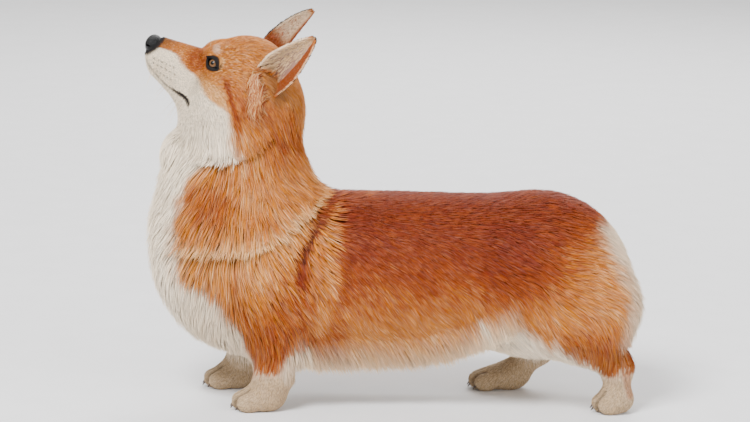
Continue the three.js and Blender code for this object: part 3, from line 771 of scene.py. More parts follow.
# Lie of the coat: a place and the way that the hair points there, on the dog's left side
LIE = [
    ("bridge", (-290, 0, 478), (0.94, 0, -0.3)), ("muzzle side", (-300, -24, 452), (0.82, -0.1, -0.56)),
    ("chin", (-305, 0, 425), (0.5, 0, -0.85)), ("forehead", (-232, 0, 488), (0.98, 0, 0.15)),
    ("skull", (-180, 0, 488), (0.98, 0, -0.2)), ("eye side", (-232, -44, 460), (0.9, -0.2, -0.2)),
    ("before the ear", (-205, -56, 450), (0.72, 0, -0.65)), ("cheek", (-215, -62, 412), (0.5, 0, -0.86)),
    ("jaw", (-262, -30, 388), (0.3, 0, -0.95)), ("cheek ruff", (-225, -66, 372), (0.25, 0, -0.97)),
    ("behind ear", (-140, -55, 430), (0.5, 0, -0.85)), ("nape", (-112, 0, 400), (0.3, 0, -0.95)),
    ("neck front", (-262, -66, 320), (-0.5, 0, -0.86)), ("neck side", (-215, -80, 300), (-0.12, 0, -1)),
    ("neck middle", (-180, -80, 330), (0.12, 0, -1)), ("neck rear", (-140, -80, 300), (0.5, 0, -0.86)),
    ("throat", (-300, 0, 340), (-0.4, 0, -0.9)), ("nape low", (-105, 0, 330), (0.6, 0, -0.8)),
    ("withers", (-66, 0, 296), (0.96, 0, -0.2)), ("shoulder front", (-262, -84, 240), (-0.35, 0, -0.93)),
    ("shoulder", (-200, -98, 240), (0.05, 0, -1)), ("shoulder rear", (-145, -98, 240), (0.55, 0, -0.84)),
    ("upper arm", (-185, -98, 180), (0.5, 0, -0.86)), ("elbow", (-150, -98, 140), (0.6, 0, -0.8)),
    ("forechest", (-334, 0, 220), (-0.2, 0, -1)), ("forechest side", (-300, -66, 220), (-0.5, 0, -0.86)),
    ("brisket side", (-262, -60, 140), (-0.15, 0, -1)), ("brisket", (-285, 0, 110), (0.3, 0, -0.9)),
    ("ribs high", (-60, -90, 250), (0.85, 0, -0.5)), ("ribs front", (-60, -100, 200), (0.7, 0, -0.72)),
    ("ribs low front", (-60, -92, 130), (0.6, 0, -0.8)), ("back", (60, 0, 292), (1, 0, -0.04)),
    ("back rear", (180, 0, 288), (1, 0, -0.1)), ("flank high", (60, -84, 262), (0.95, 0, -0.3)),
    ("ribs", (60, -100, 205), (0.78, 0, -0.62)), ("low ribs", (40, -90, 120), (0.64, 0, -0.77)),
    ("fringe front", (-80, -60, 62), (0.45, 0, -0.9)), ("fringe", (20, -60, 66), (0.5, 0, -0.88)),
    ("belly", (-20, 0, 52), (0.8, 0, -0.6)), ("belly rear", (110, 0, 66), (0.8, 0, -0.6)),
    ("loin", (150, -98, 215), (0.88, 0, -0.47)), ("flank", (130, -92, 130), (0.6, 0, -0.8)),
    ("croup", (250, 0, 280), (0.95, 0, -0.3)), ("rump side", (255, -88, 220), (0.97, 0, -0.25)),
    ("rump side low", (262, -92, 170), (0.92, 0, -0.4)), ("rump back", (325, -20, 225), (0.5, 0, -0.86)),
    ("breeches", (338, -36, 160), (0.3, 0, -0.95)), ("thigh", (230, -96, 130), (0.8, 0, -0.6)),
    ("thigh front", (178, -92, 112), (0.6, 0, -0.8)), ("breeches low", (322, -50, 96), (0.15, 0, -1)),
]
LEG_LIE = {"top": (0.25, 0, -1), "joint": (0.05, 0, -1), "ankle": (-0.25, 0, -0.95), "toes": (-0.85, 0, -0.5)}


def lie_table():
    places, ways = [], []
    for _, place, way in LIE:
        for side in ((1, -1) if place[1] else (1,)):
            places.append((place[0], place[1] * side, place[2]))
            ways.append((way[0], way[1] * side, way[2]))
    for shape in LEGS.values():
        tip = shape["tip"]
        spots = {"top": shape["top"], "joint": shape["joint"], "ankle": ankle_of(shape),
                 "toes": (tip[0] + 16, tip[1], 20)}
        for spot, place in spots.items():
            for bulge in (-22, 22):
                places.append((place[0], place[1] + bulge, place[2]))
                ways.append(LEG_LIE[spot])
    return np.array(places, float), unit(np.array(ways, float))


LIE_PLACES, LIE_WAYS = lie_table()
LIE_BATCH = 20000       # points that are worked out at a time, to spare memory


def lie_at(p):
    """The way that the coat lies at each point, before it is laid on the surface."""
    ways = np.zeros_like(p)
    for start in range(0, len(p), LIE_BATCH):
        q = p[start:start + LIE_BATCH]
        d2 = (q * q).sum(1)[:, None] + (LIE_PLACES ** 2).sum(1) - 2 * q @ LIE_PLACES.T
        ways[start:start + LIE_BATCH] = (1 / (d2 + 300) ** 2) @ LIE_WAYS
    wavy = 0.14 + 0.5 * ramp(62, 20, np.linalg.norm((p - (-62, 0, 290)) * (1, 0.5, 1), axis=1))
    drift = np.stack([wobble(p, 30, 11), wobble(p, 30, 12), wobble(p, 30, 13)], 1)
    return unit(unit(ways) + wavy[:, None] * drift)


# Coat. A single hair is under 0.1 mm wide, too fine to show, so each tuft is a lock about 1.4 mm wide.
# The points of a tuft stand at these shares of its length
SHORT = (0.0, 0.38, 1.0)
LONG = (0.0, 0.28, 0.66, 1.0)

# Where the tips of the belly's fringe hang, as place along the dog and height
FRINGE = [(-150, 58), (-112, 44), (10, 44), (60, 57), (106, 77), (150, 103)]


def fringe_at(p):
    """How much of the hair hangs free under the belly, and the height that its tips reach down to."""
    x, y, z = p[:, 0], np.abs(p[:, 1]), p[:, 2]
    low = np.interp(x, *np.array(FRINGE, float).T)
    share = ramp(low + 74, low + 44, z) * ramp(-150, -118, x) * ramp(165, 140, x) * ramp(24, 50, y)
    return share * (off_trunk(p) < 6), low


def hair_sizes(p):
    """Length, width and how far the tips stand over the outline, at each point, in millimetres."""
    x, z = p[:, 0], p[:, 2]
    above = beyond(HEAD_PLANE, p)
    forward = in_head(p)[:, 0]
    face_share = ramp(-14, 14, above)
    on_leg = ramp(8, 30, off_trunk(p))
    long = np.maximum.reduce([
        ramp(-150, -230, x) * ramp(60, 110, z), ramp(-90, -150, x) * ramp(230, 270, z),
        ramp(270, 315, x) * ramp(250, 200, z) * ramp(70, 110, z),
    ]) * (1 - on_leg)
    feather = on_leg * ramp(-152, -142, x) * ramp(-90, -100, x) * ramp(40, 60, z) * ramp(118, 104, z)
    length = 22 + 8 * ramp(240, 120, z)
    length = mix(length, 38.0, long)
    length = mix(length, 17 - 14 * ramp(-30, 100, forward) ** 0.7, face_share)
    length = mix(length, mix(4.5 + 10 * ramp(30, 100, z), 26.0, feather), on_leg)
    for tier, _ in TIERS:
        over, reach = over_tier(p, tier)
        held = (reach > 0.5) & (over > -2) & (over < 60)
        length = np.where(held, np.minimum(length, np.maximum(over, 0) + 17), length)
    width = mix(mix(1.45, 1.4, long), 0.85, face_share)
    width = mix(width, 1.05, on_leg)
    proud = mix(1.8, 4.0, long)
    proud = mix(proud, 0.5, np.maximum(face_share, on_leg * (1 - feather)))
    proud = proud + 7 * feather
    return length, width, proud


# Each region's tuft, how far apart its clumps are and how strongly they pull, its slot and its setting
REGIONS = {
    "coat_face": {"shares": SHORT, "clump": 3.2, "pull": 0.3, "slot": "red_coat", "count": "face_tufts"},
    "coat_ruff": {"shares": LONG, "clump": 7.0, "pull": 0.42, "slot": "red_coat", "count": "ruff_tufts"},
    "coat_bib": {"shares": LONG, "clump": 7.0, "pull": 0.38, "slot": "red_coat", "count": "bib_tufts"},
    "coat_side_left": {"shares": SHORT, "clump": 5.5, "pull": 0.4, "slot": "red_coat", "count": "side_tufts"},
    "coat_side_right": {"shares": SHORT, "clump": 5.5, "pull": 0.4, "slot": "red_coat",
                        "count": "side_tufts"},
    "coat_rump": {"shares": SHORT, "clump": 6.5, "pull": 0.45, "slot": "red_coat", "count": "rump_tufts"},
    "coat_forelegs": {"shares": SHORT, "clump": 4.0, "pull": 0.35, "slot": "red_coat",
                      "count": "foreleg_tufts"},
    "coat_hindlegs": {"shares": SHORT, "clump": 4.0, "pull": 0.35, "slot": "white_coat",
                      "count": "hindleg_tufts"},
}


def region_of(p):
    """The name of the coat piece that each point belongs to."""
    names = np.full(len(p), "coat_rump", dtype="<U16")
    barrel = beyond(LOIN_PLANE, p) > 0
    names[barrel & (p[:, 1] < 0)] = "coat_side_left"
    names[barrel & (p[:, 1] >= 0)] = "coat_side_right"
    names[beyond(GIRTH_PLANE, p) > 0] = "coat_bib"
    names[beyond(COLLAR_PLANE, p) > 0] = "coat_ruff"
    names[beyond(HEAD_PLANE, p) > 0] = "coat_face"
    on_leg = (off_trunk(p) > 8) & (p[:, 2] < 130)
    names[on_leg & (p[:, 0] < 0)] = "coat_forelegs"
    names[on_leg & (p[:, 0] >= 0)] = "coat_hindlegs"
    return names


NORMAL_SHARE = 0.6      # how much of a tuft's shading follows the body's surface, as it does in real fur


def blades(path, shares, width, normals):
    """Closed three-sided tufts along paths of points, pointed at both ends, with their shading normals."""
    count, joints, _ = path.shape
    ahead = unit(np.gradient(path, axis=1))
    face_way = np.broadcast_to(normals[:, None], path.shape)
    aside = unit(np.cross(ahead, face_way))
    over = np.cross(aside, ahead)
    place = np.array(shares)[1:-1]
    half = width[:, None, None] / 2 * (1.15 - place ** 2)[None, :, None]
    stem, a, o = path[:, 1:-1], aside[:, 1:-1], over[:, 1:-1]
    rings = np.stack([stem - a * half, stem + o * half * 0.7, stem + a * half], 2).reshape(count, -1, 3)
    verts = np.concatenate([path[:, :1], rings, path[:, -1:]], 1)
    own = np.stack([unit(0.35 * o - a), o, unit(0.35 * o + a)], 2).reshape(count, -1, 3)
    own = np.concatenate([over[:, :1], own, over[:, -1:]], 1)
    shading = unit(own + (normals[:, None] - own) * NORMAL_SHARE)
    size = verts.shape[1]
    faces = [(0, 1 + (i + 1) % 3, 1 + i) for i in range(3)]
    for r in range(joints - 3):
        a, b = 1 + 3 * r, 4 + 3 * r
        for i in range(3):
            j = (i + 1) % 3
            faces += [(a + i, a + j, b + j), (a + i, b + j, b + i)]
    last = 1 + 3 * (joints - 3)
    faces += [(last + i, last + (i + 1) % 3, size - 1) for i in range(3)]
    every = (np.array(faces)[None] + (np.arange(count) * size)[:, None, None]).reshape(-1, 3)
    return verts.reshape(-1, 3), every, shading.reshape(-1, 3)


def clump_path(path, roots, area, region, rng):
    """Draws the tufts near each clump's leader towards its tip."""
    apart = math.sqrt(area / len(roots))
    leaders = rng.permutation(len(roots))[:max(1, int(len(roots) * (apart / region["clump"]) ** 2))]
    tree = KDTree(len(leaders))
    for i, leader in enumerate(leaders):
        tree.insert(roots[leader], i)
    tree.balance()
    nearest = leaders[[tree.find(root)[1] for root in roots]]
    bend = np.array(region["shares"])
    target = path[nearest] + (path[:, :1] - path[nearest][:, :1]) * (1 - 0.75 * bend)[:, None]
    return path + (target - path) * (region["pull"] * bend ** 1.5)[:, None], nearest


PATCH = 0.003      # width of a tuft's patch on the OFBake map


def bake_map(piece, roots, along, across):
    """Each tuft is a small patch at its root's place on an unwrap of the piece round its own long axis."""
    middle = roots.mean(0)
    spread = np.linalg.svd((roots - middle)[::7], full_matrices=False)[2]
    q = (roots - middle) @ spread.T
    angle = np.arctan2(q[:, 2], q[:, 1]) / (2 * math.pi) + 0.5
    length = (q[:, 0] - q[:, 0].min()) / max(np.ptp(q[:, 0]), 1e-6)
    u = (0.005 + 0.985 * angle[:, None] + PATCH * (across - 0.5)[None]).ravel()
    v = (0.005 + 0.985 * length[:, None] + PATCH * (along - 0.5)[None]).ravel()
    layer = piece.data.uv_layers.new(name="OFBake")
    index = np.zeros(len(piece.data.loops), np.int32)
    piece.data.loops.foreach_get("vertex_index", index)
    layer.data.foreach_set("uv", np.stack([u[index], v[index]], 1).astype(np.float32).ravel())


def hair_piece(name, path, shares, width, normals, marks, material, slot, rng, pale_tips=None):
    """One piece of coat from the paths of its tufts, with its markings and its bake map."""
    path[:, :, 2] = np.maximum(path[:, :, 2], 0.6)
    verts, faces, shading = blades(path, shares, width, normals)
    verts[:, 2] = np.maximum(verts[:, 2], 0.2)
    piece = make_piece(name, verts, faces, material, slot)
    count = len(path)
    along = np.concatenate([[0.0], np.repeat(shares[1:-1], 3), [1.0]])
    across = np.concatenate([[0.5], np.tile([0.0, 0.5, 1.0], len(shares) - 2), [0.5]])
    paint(piece, "marks", np.repeat(marks, len(along), axis=0))
    shade = np.repeat(rng.uniform(0, 1, count), len(along))
    warm = np.repeat(rng.uniform(0, 1, count), len(along))
    pale = np.zeros(count) if pale_tips is None else pale_tips
    paint(piece, "hair", np.stack([np.tile(along, count), shade, warm, np.repeat(pale, len(along))], 1))
    bake_map(piece, path[:, 0], along, across)
    piece.data.normals_split_custom_set_from_vertices(shading)


def grow(name, roots, normals, area, material, seed):
    """The tufts of one region, laid along the coat with their tips at the outline."""
    region = REGIONS[name]
    rng = np.random.default_rng(seed)
    shares, count = region["shares"], len(roots)
    length, width, proud = hair_sizes(roots)
    length = length * rng.uniform(0.7, 1.2, count)
    width = width * rng.uniform(0.75, 1.25, count)
    depth = coat_depth(roots)
    lift = proud * rng.uniform(-0.5, 1.0, count) - depth * 0.4 * rng.uniform(0, 1, count) ** 2
    sway = rng.normal(0, 0.12, count)
    held = tier_relief(roots)
    path = np.zeros((count, len(shares), 3))
    path[:, 0] = roots - normals * 0.8
    place, normal = roots, normals
    for k in range(1, len(shares)):
        share = shares[k]
        way = lie_at(place)
        way = unit(way - normal * np.einsum("ij,ij->i", way, normal)[:, None])
        way = unit(way + np.cross(normal, way) * (sway * (1 - 0.6 * share))[:, None])
        place = place + way * (length * (share - shares[k - 1]))[:, None]
        hang = 0.8 * np.maximum(held - tier_relief(place), 0)
        height = mix(-depth, lift + hang, share ** 0.8)
        value = outline(place)
        g = slopes(outline, place, value)
        place = place + g * ((height - value) / np.maximum(np.einsum("ij,ij->i", g, g), 0.2))[:, None]
        normal = unit(g)
        path[:, k] = place
    fringe, low = fringe_at(roots)
    loose = np.nonzero(fringe > 0.05)[0]
    drop = np.maximum(roots[loose, 2] - low[loose] - rng.uniform(0, 13, len(loose)), 8.0)
    fall = unit(np.array([0.42, 0, -1.0]) + rng.normal(0, 0.1, (len(loose), 3)))
    for k in range(1, len(shares)):
        free = roots[loose] + normals[loose] * (depth[loose] * 0.9 * ramp(0, 0.6, shares[k]))[:, None]
        free = free + fall * (drop * shares[k] * 1.05)[:, None]
        path[loose, k] = mix(path[loose, k], free, fringe[loose] * rng.uniform(0.7, 1, len(loose)))
    path, nearest = clump_path(path, roots, area, region, rng)
    marks = markings(roots)
    change = rng.normal(0, 0.06, count)[nearest] + rng.normal(0, 0.06, count)
    marks[:, 1] = np.clip(marks[:, 1] + change, 0, 1)
    over, reach = over_tier(roots, TIER)
    pale_tips = np.clip(fringe + 0.16 * reach * ramp(0, 4, over) * ramp(30, 10, over), 0, 1)
    hair_piece(name, path, shares, width, normals, marks, material, region["slot"], rng, pale_tips)


# Materials

COLOUR_MIX = {"data_type": "RGBA"}
MIX_SHARE, MIX_FIRST, MIX_SECOND, MIX_RESULT = 0, 6, 7, 2      # sockets of a mix node that mixes colours


def add_node(tree, kind, settings=None, inputs=None, output=0):
    """Adds a node with its settings, sets or links its inputs, and returns one of its outputs."""
    node = tree.nodes.new(kind)
    for key, value in (settings or {}).items():
        setattr(node, key, value)
    for key, value in (inputs or {}).items():
        socket = node.inputs[key]
        if isinstance(value, bpy.types.NodeSocket):
            tree.links.new(value, socket)
        elif socket.type == "RGBA":
            socket.default_value = (*value[:3], 1)
        else:
            socket.default_value = value
    return node.outputs[output] if node.outputs else None


def blank_material(name):
    material = bpy.data.materials.new(name)
    material.use_nodes = True
    material.node_tree.nodes.clear()
    return material, material.node_tree


def marked_colour(tree, colours):
    """The coat's colour from its markings: tones of red, then white, sand and dark."""
    marks = add_node(tree, "ShaderNodeAttribute", {"attribute_name": "marks"})
    parts = add_node(tree, "ShaderNodeSeparateColor", None, {0: marks}).node.outputs
    colour = add_node(tree, "ShaderNodeValToRGB", None, {0: parts[1]})
    stops = colour.node.color_ramp.elements
    stops[0].position, stops[0].color = 0.0, (*colours.deep_red, 1)
    stops[1].position, stops[1].color = 1.0, (*colours.pale_gold, 1)
    for position, tone in ((0.36, colours.red), (0.70, colours.gold)):
        stops.new(position).color = (*tone, 1)
    for share, tone in ((parts[0], colours.white), (parts[2], colours.sand),
                        (marks.node.outputs["Alpha"], colours.dark)):
        colour = add_node(tree, "ShaderNodeMix", COLOUR_MIX,
                          {MIX_SHARE: share, MIX_FIRST: colour, MIX_SECOND: tone}, MIX_RESULT)
    return colour


def guard_hair(colours):
    """Straight dog hair: scaly keratin that scatters light softly along each tuft and shines a little."""
    material, tree = blank_material("guard_hair")
    colour = marked_colour(tree, colours)
    hair = add_node(tree, "ShaderNodeAttribute", {"attribute_name": "hair"})
    along, shade, warm = add_node(tree, "ShaderNodeSeparateColor", None, {0: hair}).node.outputs
    tip = add_node(tree, "ShaderNodeMath", {"operation": "POWER"}, {0: along, 1: 1.3})
    pale = add_node(tree, "ShaderNodeMath", {"operation": "MULTIPLY"},
                    {0: tip, 1: hair.node.outputs["Alpha"]})
    colour = add_node(tree, "ShaderNodeMix", COLOUR_MIX, {
        MIX_SHARE: pale, MIX_FIRST: colour, MIX_SECOND: colours.tips}, MIX_RESULT)
    # Each tuft darkens towards its root: painted shade of the coat's depth
    root = add_node(tree, "ShaderNodeMapRange", None, {0: along, 1: 0.0, 2: 0.75, 3: 0.66, 4: 1.0})
    bright = add_node(tree, "ShaderNodeMapRange", None, {0: shade, 1: 0.0, 2: 1.0, 3: 0.82, 4: 1.16})
    value = add_node(tree, "ShaderNodeMath", {"operation": "MULTIPLY"}, {0: root, 1: bright})
    saturation = add_node(tree, "ShaderNodeMapRange", None, {0: warm, 1: 0.0, 2: 1.0, 3: 0.9, 4: 1.1})
    tone = add_node(tree, "ShaderNodeHueSaturation", None,
                    {"Saturation": saturation, "Value": value, "Color": colour})
    shader = add_node(tree, "ShaderNodeBsdfPrincipled", None, {
        "Base Color": tone, "Roughness": 0.6, "IOR": 1.55, "Specular IOR Level": 0.12,
        "Sheen Weight": 0.02, "Sheen Roughness": 0.5, "Sheen Tint": colours.sheen})
    add_node(tree, "ShaderNodeOutputMaterial", None, {"Surface": shader})
    return material


def coated_skin(colours):
    """Skin under the coat: it shows between the tufts as the matted, shaded roots of the undercoat."""
    material, tree = blank_material("coated_skin")
    colour = marked_colour(tree, colours)
    place = add_node(tree, "ShaderNodeTexCoord", output=3)
    # Hair roots are too close together to show, so they are drawn as coarse as the tufts, 1.5 mm apart
    roots = add_node(tree, "ShaderNodeTexNoise", None,
                     {"Vector": place, "Scale": 1 / (1.5 * MM), "Detail": 3.0})
    value = add_node(tree, "ShaderNodeMapRange", None, {0: roots, 1: 0.3, 2: 0.7, 3: 0.45, 4: 0.8})
    tone = add_node(tree, "ShaderNodeHueSaturation", None,
                    {"Saturation": 1.05, "Value": value, "Color": colour})
    bump = add_node(tree, "ShaderNodeBump", None, {"Height": roots, "Strength": 0.4, "Distance": 0.001})
    shader = add_node(tree, "ShaderNodeBsdfPrincipled", None, {
        "Base Color": tone, "Roughness": 0.8, "Specular IOR Level": 0.2, "Normal": bump})
    add_node(tree, "ShaderNodeOutputMaterial", None, {"Surface": shader})
    return material


def nose_leather(colours):
    """Bare nose leather: black, pebbled by small plates and a little moist, so it shines in the light."""
    material, tree = blank_material("nose_leather")
    place = add_node(tree, "ShaderNodeTexCoord", output=3)
    # Real plates are well under a millimetre across and too fine to show, so they are drawn at 1.1 mm
    plates = add_node(tree, "ShaderNodeTexVoronoi", {"feature": "DISTANCE_TO_EDGE"},
                      {"Vector": place, "Scale": 1 / (1.1 * MM)})
    height = add_node(tree, "ShaderNodeMapRange", None, {0: plates, 1: 0.0, 2: 0.25})
    bump = add_node(tree, "ShaderNodeBump", None, {"Height": height, "Strength": 0.5, "Distance": 0.0004})
    # The creases between the plates take the darker crease colour: painted shade
    colour = add_node(tree, "ShaderNodeMix", COLOUR_MIX, {
        MIX_SHARE: height, MIX_FIRST: colours.nose_crease, MIX_SECOND: colours.nose}, MIX_RESULT)
    shader = add_node(tree, "ShaderNodeBsdfPrincipled", None, {
        "Base Color": colour, "Roughness": 0.34, "IOR": 1.4, "Specular IOR Level": 0.3, "Normal": bump})
    add_node(tree, "ShaderNodeOutputMaterial", None, {"Surface": shader})
    return material


def wet_eye(colours):
    """An eye: iris fibres under a wet, clear cornea that mirrors the lights."""
    material, tree = blank_material("wet_eye")
    eye = add_node(tree, "ShaderNodeAttribute", {"attribute_name": "eye"})
    angle, turn, _ = add_node(tree, "ShaderNodeSeparateColor", None, {0: eye}).node.outputs
    around = add_node(tree, "ShaderNodeCombineXYZ", None, {0: turn, 1: 0.0, 2: 0.0})
    # Real fibres are too fine to show, so about 60 are drawn on each half of the iris
    fibres = add_node(tree, "ShaderNodeTexNoise", None, {"Vector": around, "Scale": 60.0, "Detail": 2.0})
    share = add_node(tree, "ShaderNodeMapRange", None, {0: fibres, 1: 0.35, 2: 0.65})
    colour = add_node(tree, "ShaderNodeMix", COLOUR_MIX, {
        MIX_SHARE: share, MIX_FIRST: colours.iris_dark, MIX_SECOND: colours.iris}, MIX_RESULT)
    # Edges of pupil and iris, in degrees from the middle of the eye
    for low, high, start, end, tone in ((25.0, 31.0, 0.0, 0.7, colours.iris_dark),
                                        (13.5, 16.0, 1.0, 0.0, colours.pupil),
                                        (31.0, 34.0, 0.0, 1.0, colours.pupil)):
        share = add_node(tree, "ShaderNodeMapRange", None, {0: angle, 1: low, 2: high, 3: start, 4: end})
        colour = add_node(tree, "ShaderNodeMix", COLOUR_MIX, {
            MIX_SHARE: share, MIX_FIRST: colour, MIX_SECOND: tone}, MIX_RESULT)
    shader = add_node(tree, "ShaderNodeBsdfPrincipled", None, {
        "Base Color": colour, "Roughness": 0.3, "Specular IOR Level": 0.2, "IOR": 1.38,
        "Coat Weight": 0.5, "Coat Roughness": 0.02, "Coat IOR": 1.38})
    add_node(tree, "ShaderNodeOutputMaterial", None, {"Surface": shader})
    return material


def lid_skin(colours):
    """Bare lid rims: black, smooth and wet at the edge."""
    material, tree = blank_material("lid_skin")
    place = add_node(tree, "ShaderNodeTexCoord", output=3)
    # Creases in the skin, about 0.8 mm apart
    creases = add_node(tree, "ShaderNodeTexNoise", None, {"Vector": place, "Scale": 1 / (0.8 * MM)})
    colour = add_node(tree, "ShaderNodeMix", COLOUR_MIX, {
        MIX_SHARE: creases, MIX_FIRST: colours.lid, MIX_SECOND: colours.nose_crease}, MIX_RESULT)
    bump = add_node(tree, "ShaderNodeBump", None, {"Height": creases, "Strength": 0.3, "Distance": 0.0003})
    shader = add_node(tree, "ShaderNodeBsdfPrincipled", None, {
        "Base Color": colour, "Roughness": 0.55, "Specular IOR Level": 0.2, "Normal": bump})
    add_node(tree, "ShaderNodeOutputMaterial", None, {"Surface": shader})
    return material


def ear_leather(colours):
    """The ear's own skin: pale and pink inside, its pink darkened deep in the cup as painted shade, red where
    its rear edge and its back are furred.
    """
    material, tree = blank_material("ear_leather")
    ear = add_node(tree, "ShaderNodeAttribute", {"attribute_name": "ear"})
    inside, deep, furred = add_node(tree, "ShaderNodeSeparateColor", None, {0: ear}).node.outputs
    place = add_node(tree, "ShaderNodeTexCoord", output=3)
    # Fine veins under the skin, about 2 mm apart
    veins = add_node(tree, "ShaderNodeTexNoise", None,
                     {"Vector": place, "Scale": 1 / (2 * MM), "Detail": 4.0})
    flush = add_node(tree, "ShaderNodeMapRange", None, {0: veins, 1: 0.5, 2: 0.8, 3: 0.0, 4: 0.35})
    colour = colours.ear_cream
    for share, tone in ((deep, colours.ear_pink), (flush, colours.ear_pink), (furred, colours.red)):
        colour = add_node(tree, "ShaderNodeMix", COLOUR_MIX, {
            MIX_SHARE: share, MIX_FIRST: colour, MIX_SECOND: tone}, MIX_RESULT)
    colour = add_node(tree, "ShaderNodeMix", COLOUR_MIX, {
        MIX_SHARE: inside, MIX_FIRST: colours.red, MIX_SECOND: colour}, MIX_RESULT)
    bump = add_node(tree, "ShaderNodeBump", None, {"Height": veins, "Strength": 0.2, "Distance": 0.0005})
    shader = add_node(tree, "ShaderNodeBsdfPrincipled", None, {
        "Base Color": colour, "Roughness": 0.6, "Subsurface Weight": 0.15, "Subsurface Scale": 0.004,
        "Normal": bump})
    add_node(tree, "ShaderNodeOutputMaterial", None, {"Surface": shader})
    return material


def claw_horn(colours):
    """Claw horn: brown keratin with fine lengthwise lines and a dull shine."""
    material, tree = blank_material("claw_horn")
    place = add_node(tree, "ShaderNodeTexCoord", output=3)
    stretched = add_node(tree, "ShaderNodeMapping", None, {"Vector": place, "Scale": (0.15, 1.0, 1.0)})
    # Lines about 0.5 mm apart
    lines = add_node(tree, "ShaderNodeTexNoise", None, {"Vector": stretched, "Scale": 1 / (0.5 * MM)})
    colour = add_node(tree, "ShaderNodeMix", COLOUR_MIX, {
        MIX_SHARE: lines, MIX_FIRST: colours.claw, MIX_SECOND: colours.nose_crease}, MIX_RESULT)
    shader = add_node(tree, "ShaderNodeBsdfPrincipled", None,
                      {"Base Color": colour, "Roughness": 0.4, "IOR": 1.54})
    add_node(tree, "ShaderNodeOutputMaterial", None, {"Surface": shader})
    return material


def whisker_hair(colours):
    """Whiskers: stiff, smooth, nearly white keratin that catches the light as thin lines."""
    material, tree = blank_material("whisker_hair")
    hair = add_node(tree, "ShaderNodeAttribute", {"attribute_name": "hair"})
    along = add_node(tree, "ShaderNodeSeparateColor", None, {0: hair})
    colour = add_node(tree, "ShaderNodeMix", COLOUR_MIX, {
        MIX_SHARE: along, MIX_FIRST: colours.sand, MIX_SECOND: colours.white}, MIX_RESULT)
    shader = add_node(tree, "ShaderNodeBsdfPrincipled", None,
                      {"Base Color": colour, "Roughness": 0.3, "IOR": 1.55})
    add_node(tree, "ShaderNodeOutputMaterial", None, {"Surface": shader})
    return material


def studio_floor(colours):
    """A painted studio floor: pale and matt, with a faint mottle from the roller."""
    material, tree = blank_material("studio_floor")
    place = add_node(tree, "ShaderNodeTexCoord", output=3)
    # Roller marks about 60 mm across
    mottle = add_node(tree, "ShaderNodeTexNoise", None, {"Vector": place, "Scale": 1 / (60 * MM)})
    value = add_node(tree, "ShaderNodeMapRange", None, {0: mottle, 1: 0.3, 2: 0.7, 3: 0.985, 4: 1.015})
    colour = add_node(tree, "ShaderNodeHueSaturation", None, {"Value": value, "Color": colours.floor})
    shader = add_node(tree, "ShaderNodeBsdfPrincipled", None, {
        "Base Color": colour, "Roughness": 0.9, "Specular IOR Level": 0.1})
    add_node(tree, "ShaderNodeOutputMaterial", None, {"Surface": shader})
    return material


# What a user would change

def colour_property(name, description, code):
    return FloatVectorProperty(name=name, description=description, subtype="COLOR", size=3, min=0, max=1,
                               default=linear(code))


class CorgiColours(bpy.types.PropertyGroup):
    # Deep red also paints the shade in the crease of the shoulder's fold
    deep_red: colour_property("Deep red", "Saddle, withers and the fold at the shoulder", "6c2206")
    red: colour_property("Red", "Ribs and outside of the legs", "8f4012")
    gold: colour_property("Gold", "Head, neck and low flanks", "c27a3c")
    # Pale gold also paints the rim light along the nape
    pale_gold: colour_property("Pale gold", "Tips of the ruff", "e2ab70")
    # Sand is also painted as shade low on the bib
    sand: colour_property("Sand", "Paws, fringe and feather", "ba9b75")
    white: colour_property("White", "Bib, muzzle, belly and feet", "fde9cd")
    tips: colour_property("Tips", "Tips of the fringe and the other long hair", "eed2ac")
    sheen: colour_property("Sheen", "Tint of the soft light along the hair", "fff7ed")
    # Dark also paints shade in the hollow before the ear, in the shoulder's fold and between the toes
    dark: colour_property("Dark", "Rims of eyes and lips", "1a1413")
    nose: colour_property("Nose", "Plates of the nose leather", "0c0c0f")
    # Nose crease is painted shade between the nose's plates, and also the darker mottle of the lids and the
    # lines of the claws
    nose_crease: colour_property("Nose crease", "Between the plates", "040405")
    lid: colour_property("Lid", "Bare lid rims", "0d0908")
    iris: colour_property("Iris", "Light fibres of the iris", "7d5631")
    iris_dark: colour_property("Iris dark", "Dark fibres of the iris", "402715")
    pupil: colour_property("Pupil", "Pupil and the rim of the eye", "060505")
    ear_cream: colour_property("Ear cream", "Inside of the ear near its edge", "b0917a")
    # Ear pink is bare skin, made darker to stand for the shade deep in the ear
    ear_pink: colour_property("Ear pink", "Bare skin deep in the ear", "7a5348")
    claw: colour_property("Claw", "Claw horn", "6a5444")
    floor: colour_property("Floor", "Studio floor", "e6e6e8")


class CorgiCoat(bpy.types.PropertyGroup):
    face_tufts: IntProperty(name="Face tufts", description="Tufts on the head", default=33000, min=10)
    ruff_tufts: IntProperty(name="Ruff tufts", description="Tufts on the neck", default=16400, min=10)
    bib_tufts: IntProperty(name="Bib tufts", description="Tufts on chest and shoulders",
                           default=16400, min=10)
    side_tufts: IntProperty(name="Side tufts", description="Tufts on each side of the barrel",
                            default=28000, min=10)
    rump_tufts: IntProperty(name="Rump tufts", description="Tufts on rump and thighs", default=33000, min=10)
    foreleg_tufts: IntProperty(name="Foreleg tufts", description="Tufts on both forelegs",
                               default=16000, min=10)
    hindleg_tufts: IntProperty(name="Hind leg tufts", description="Tufts on both hind legs",
                               default=13000, min=10)
    ear_tufts: IntProperty(name="Ear tufts", description="Tufts on each ear", default=8500, min=10)
    ear_lock_tufts: IntProperty(name="Ear lock tufts", description="Long tufts at each ear's foot",
                                default=400, min=10)
    seed: IntProperty(name="Seed", description="Start of every random draw", default=5, min=0)


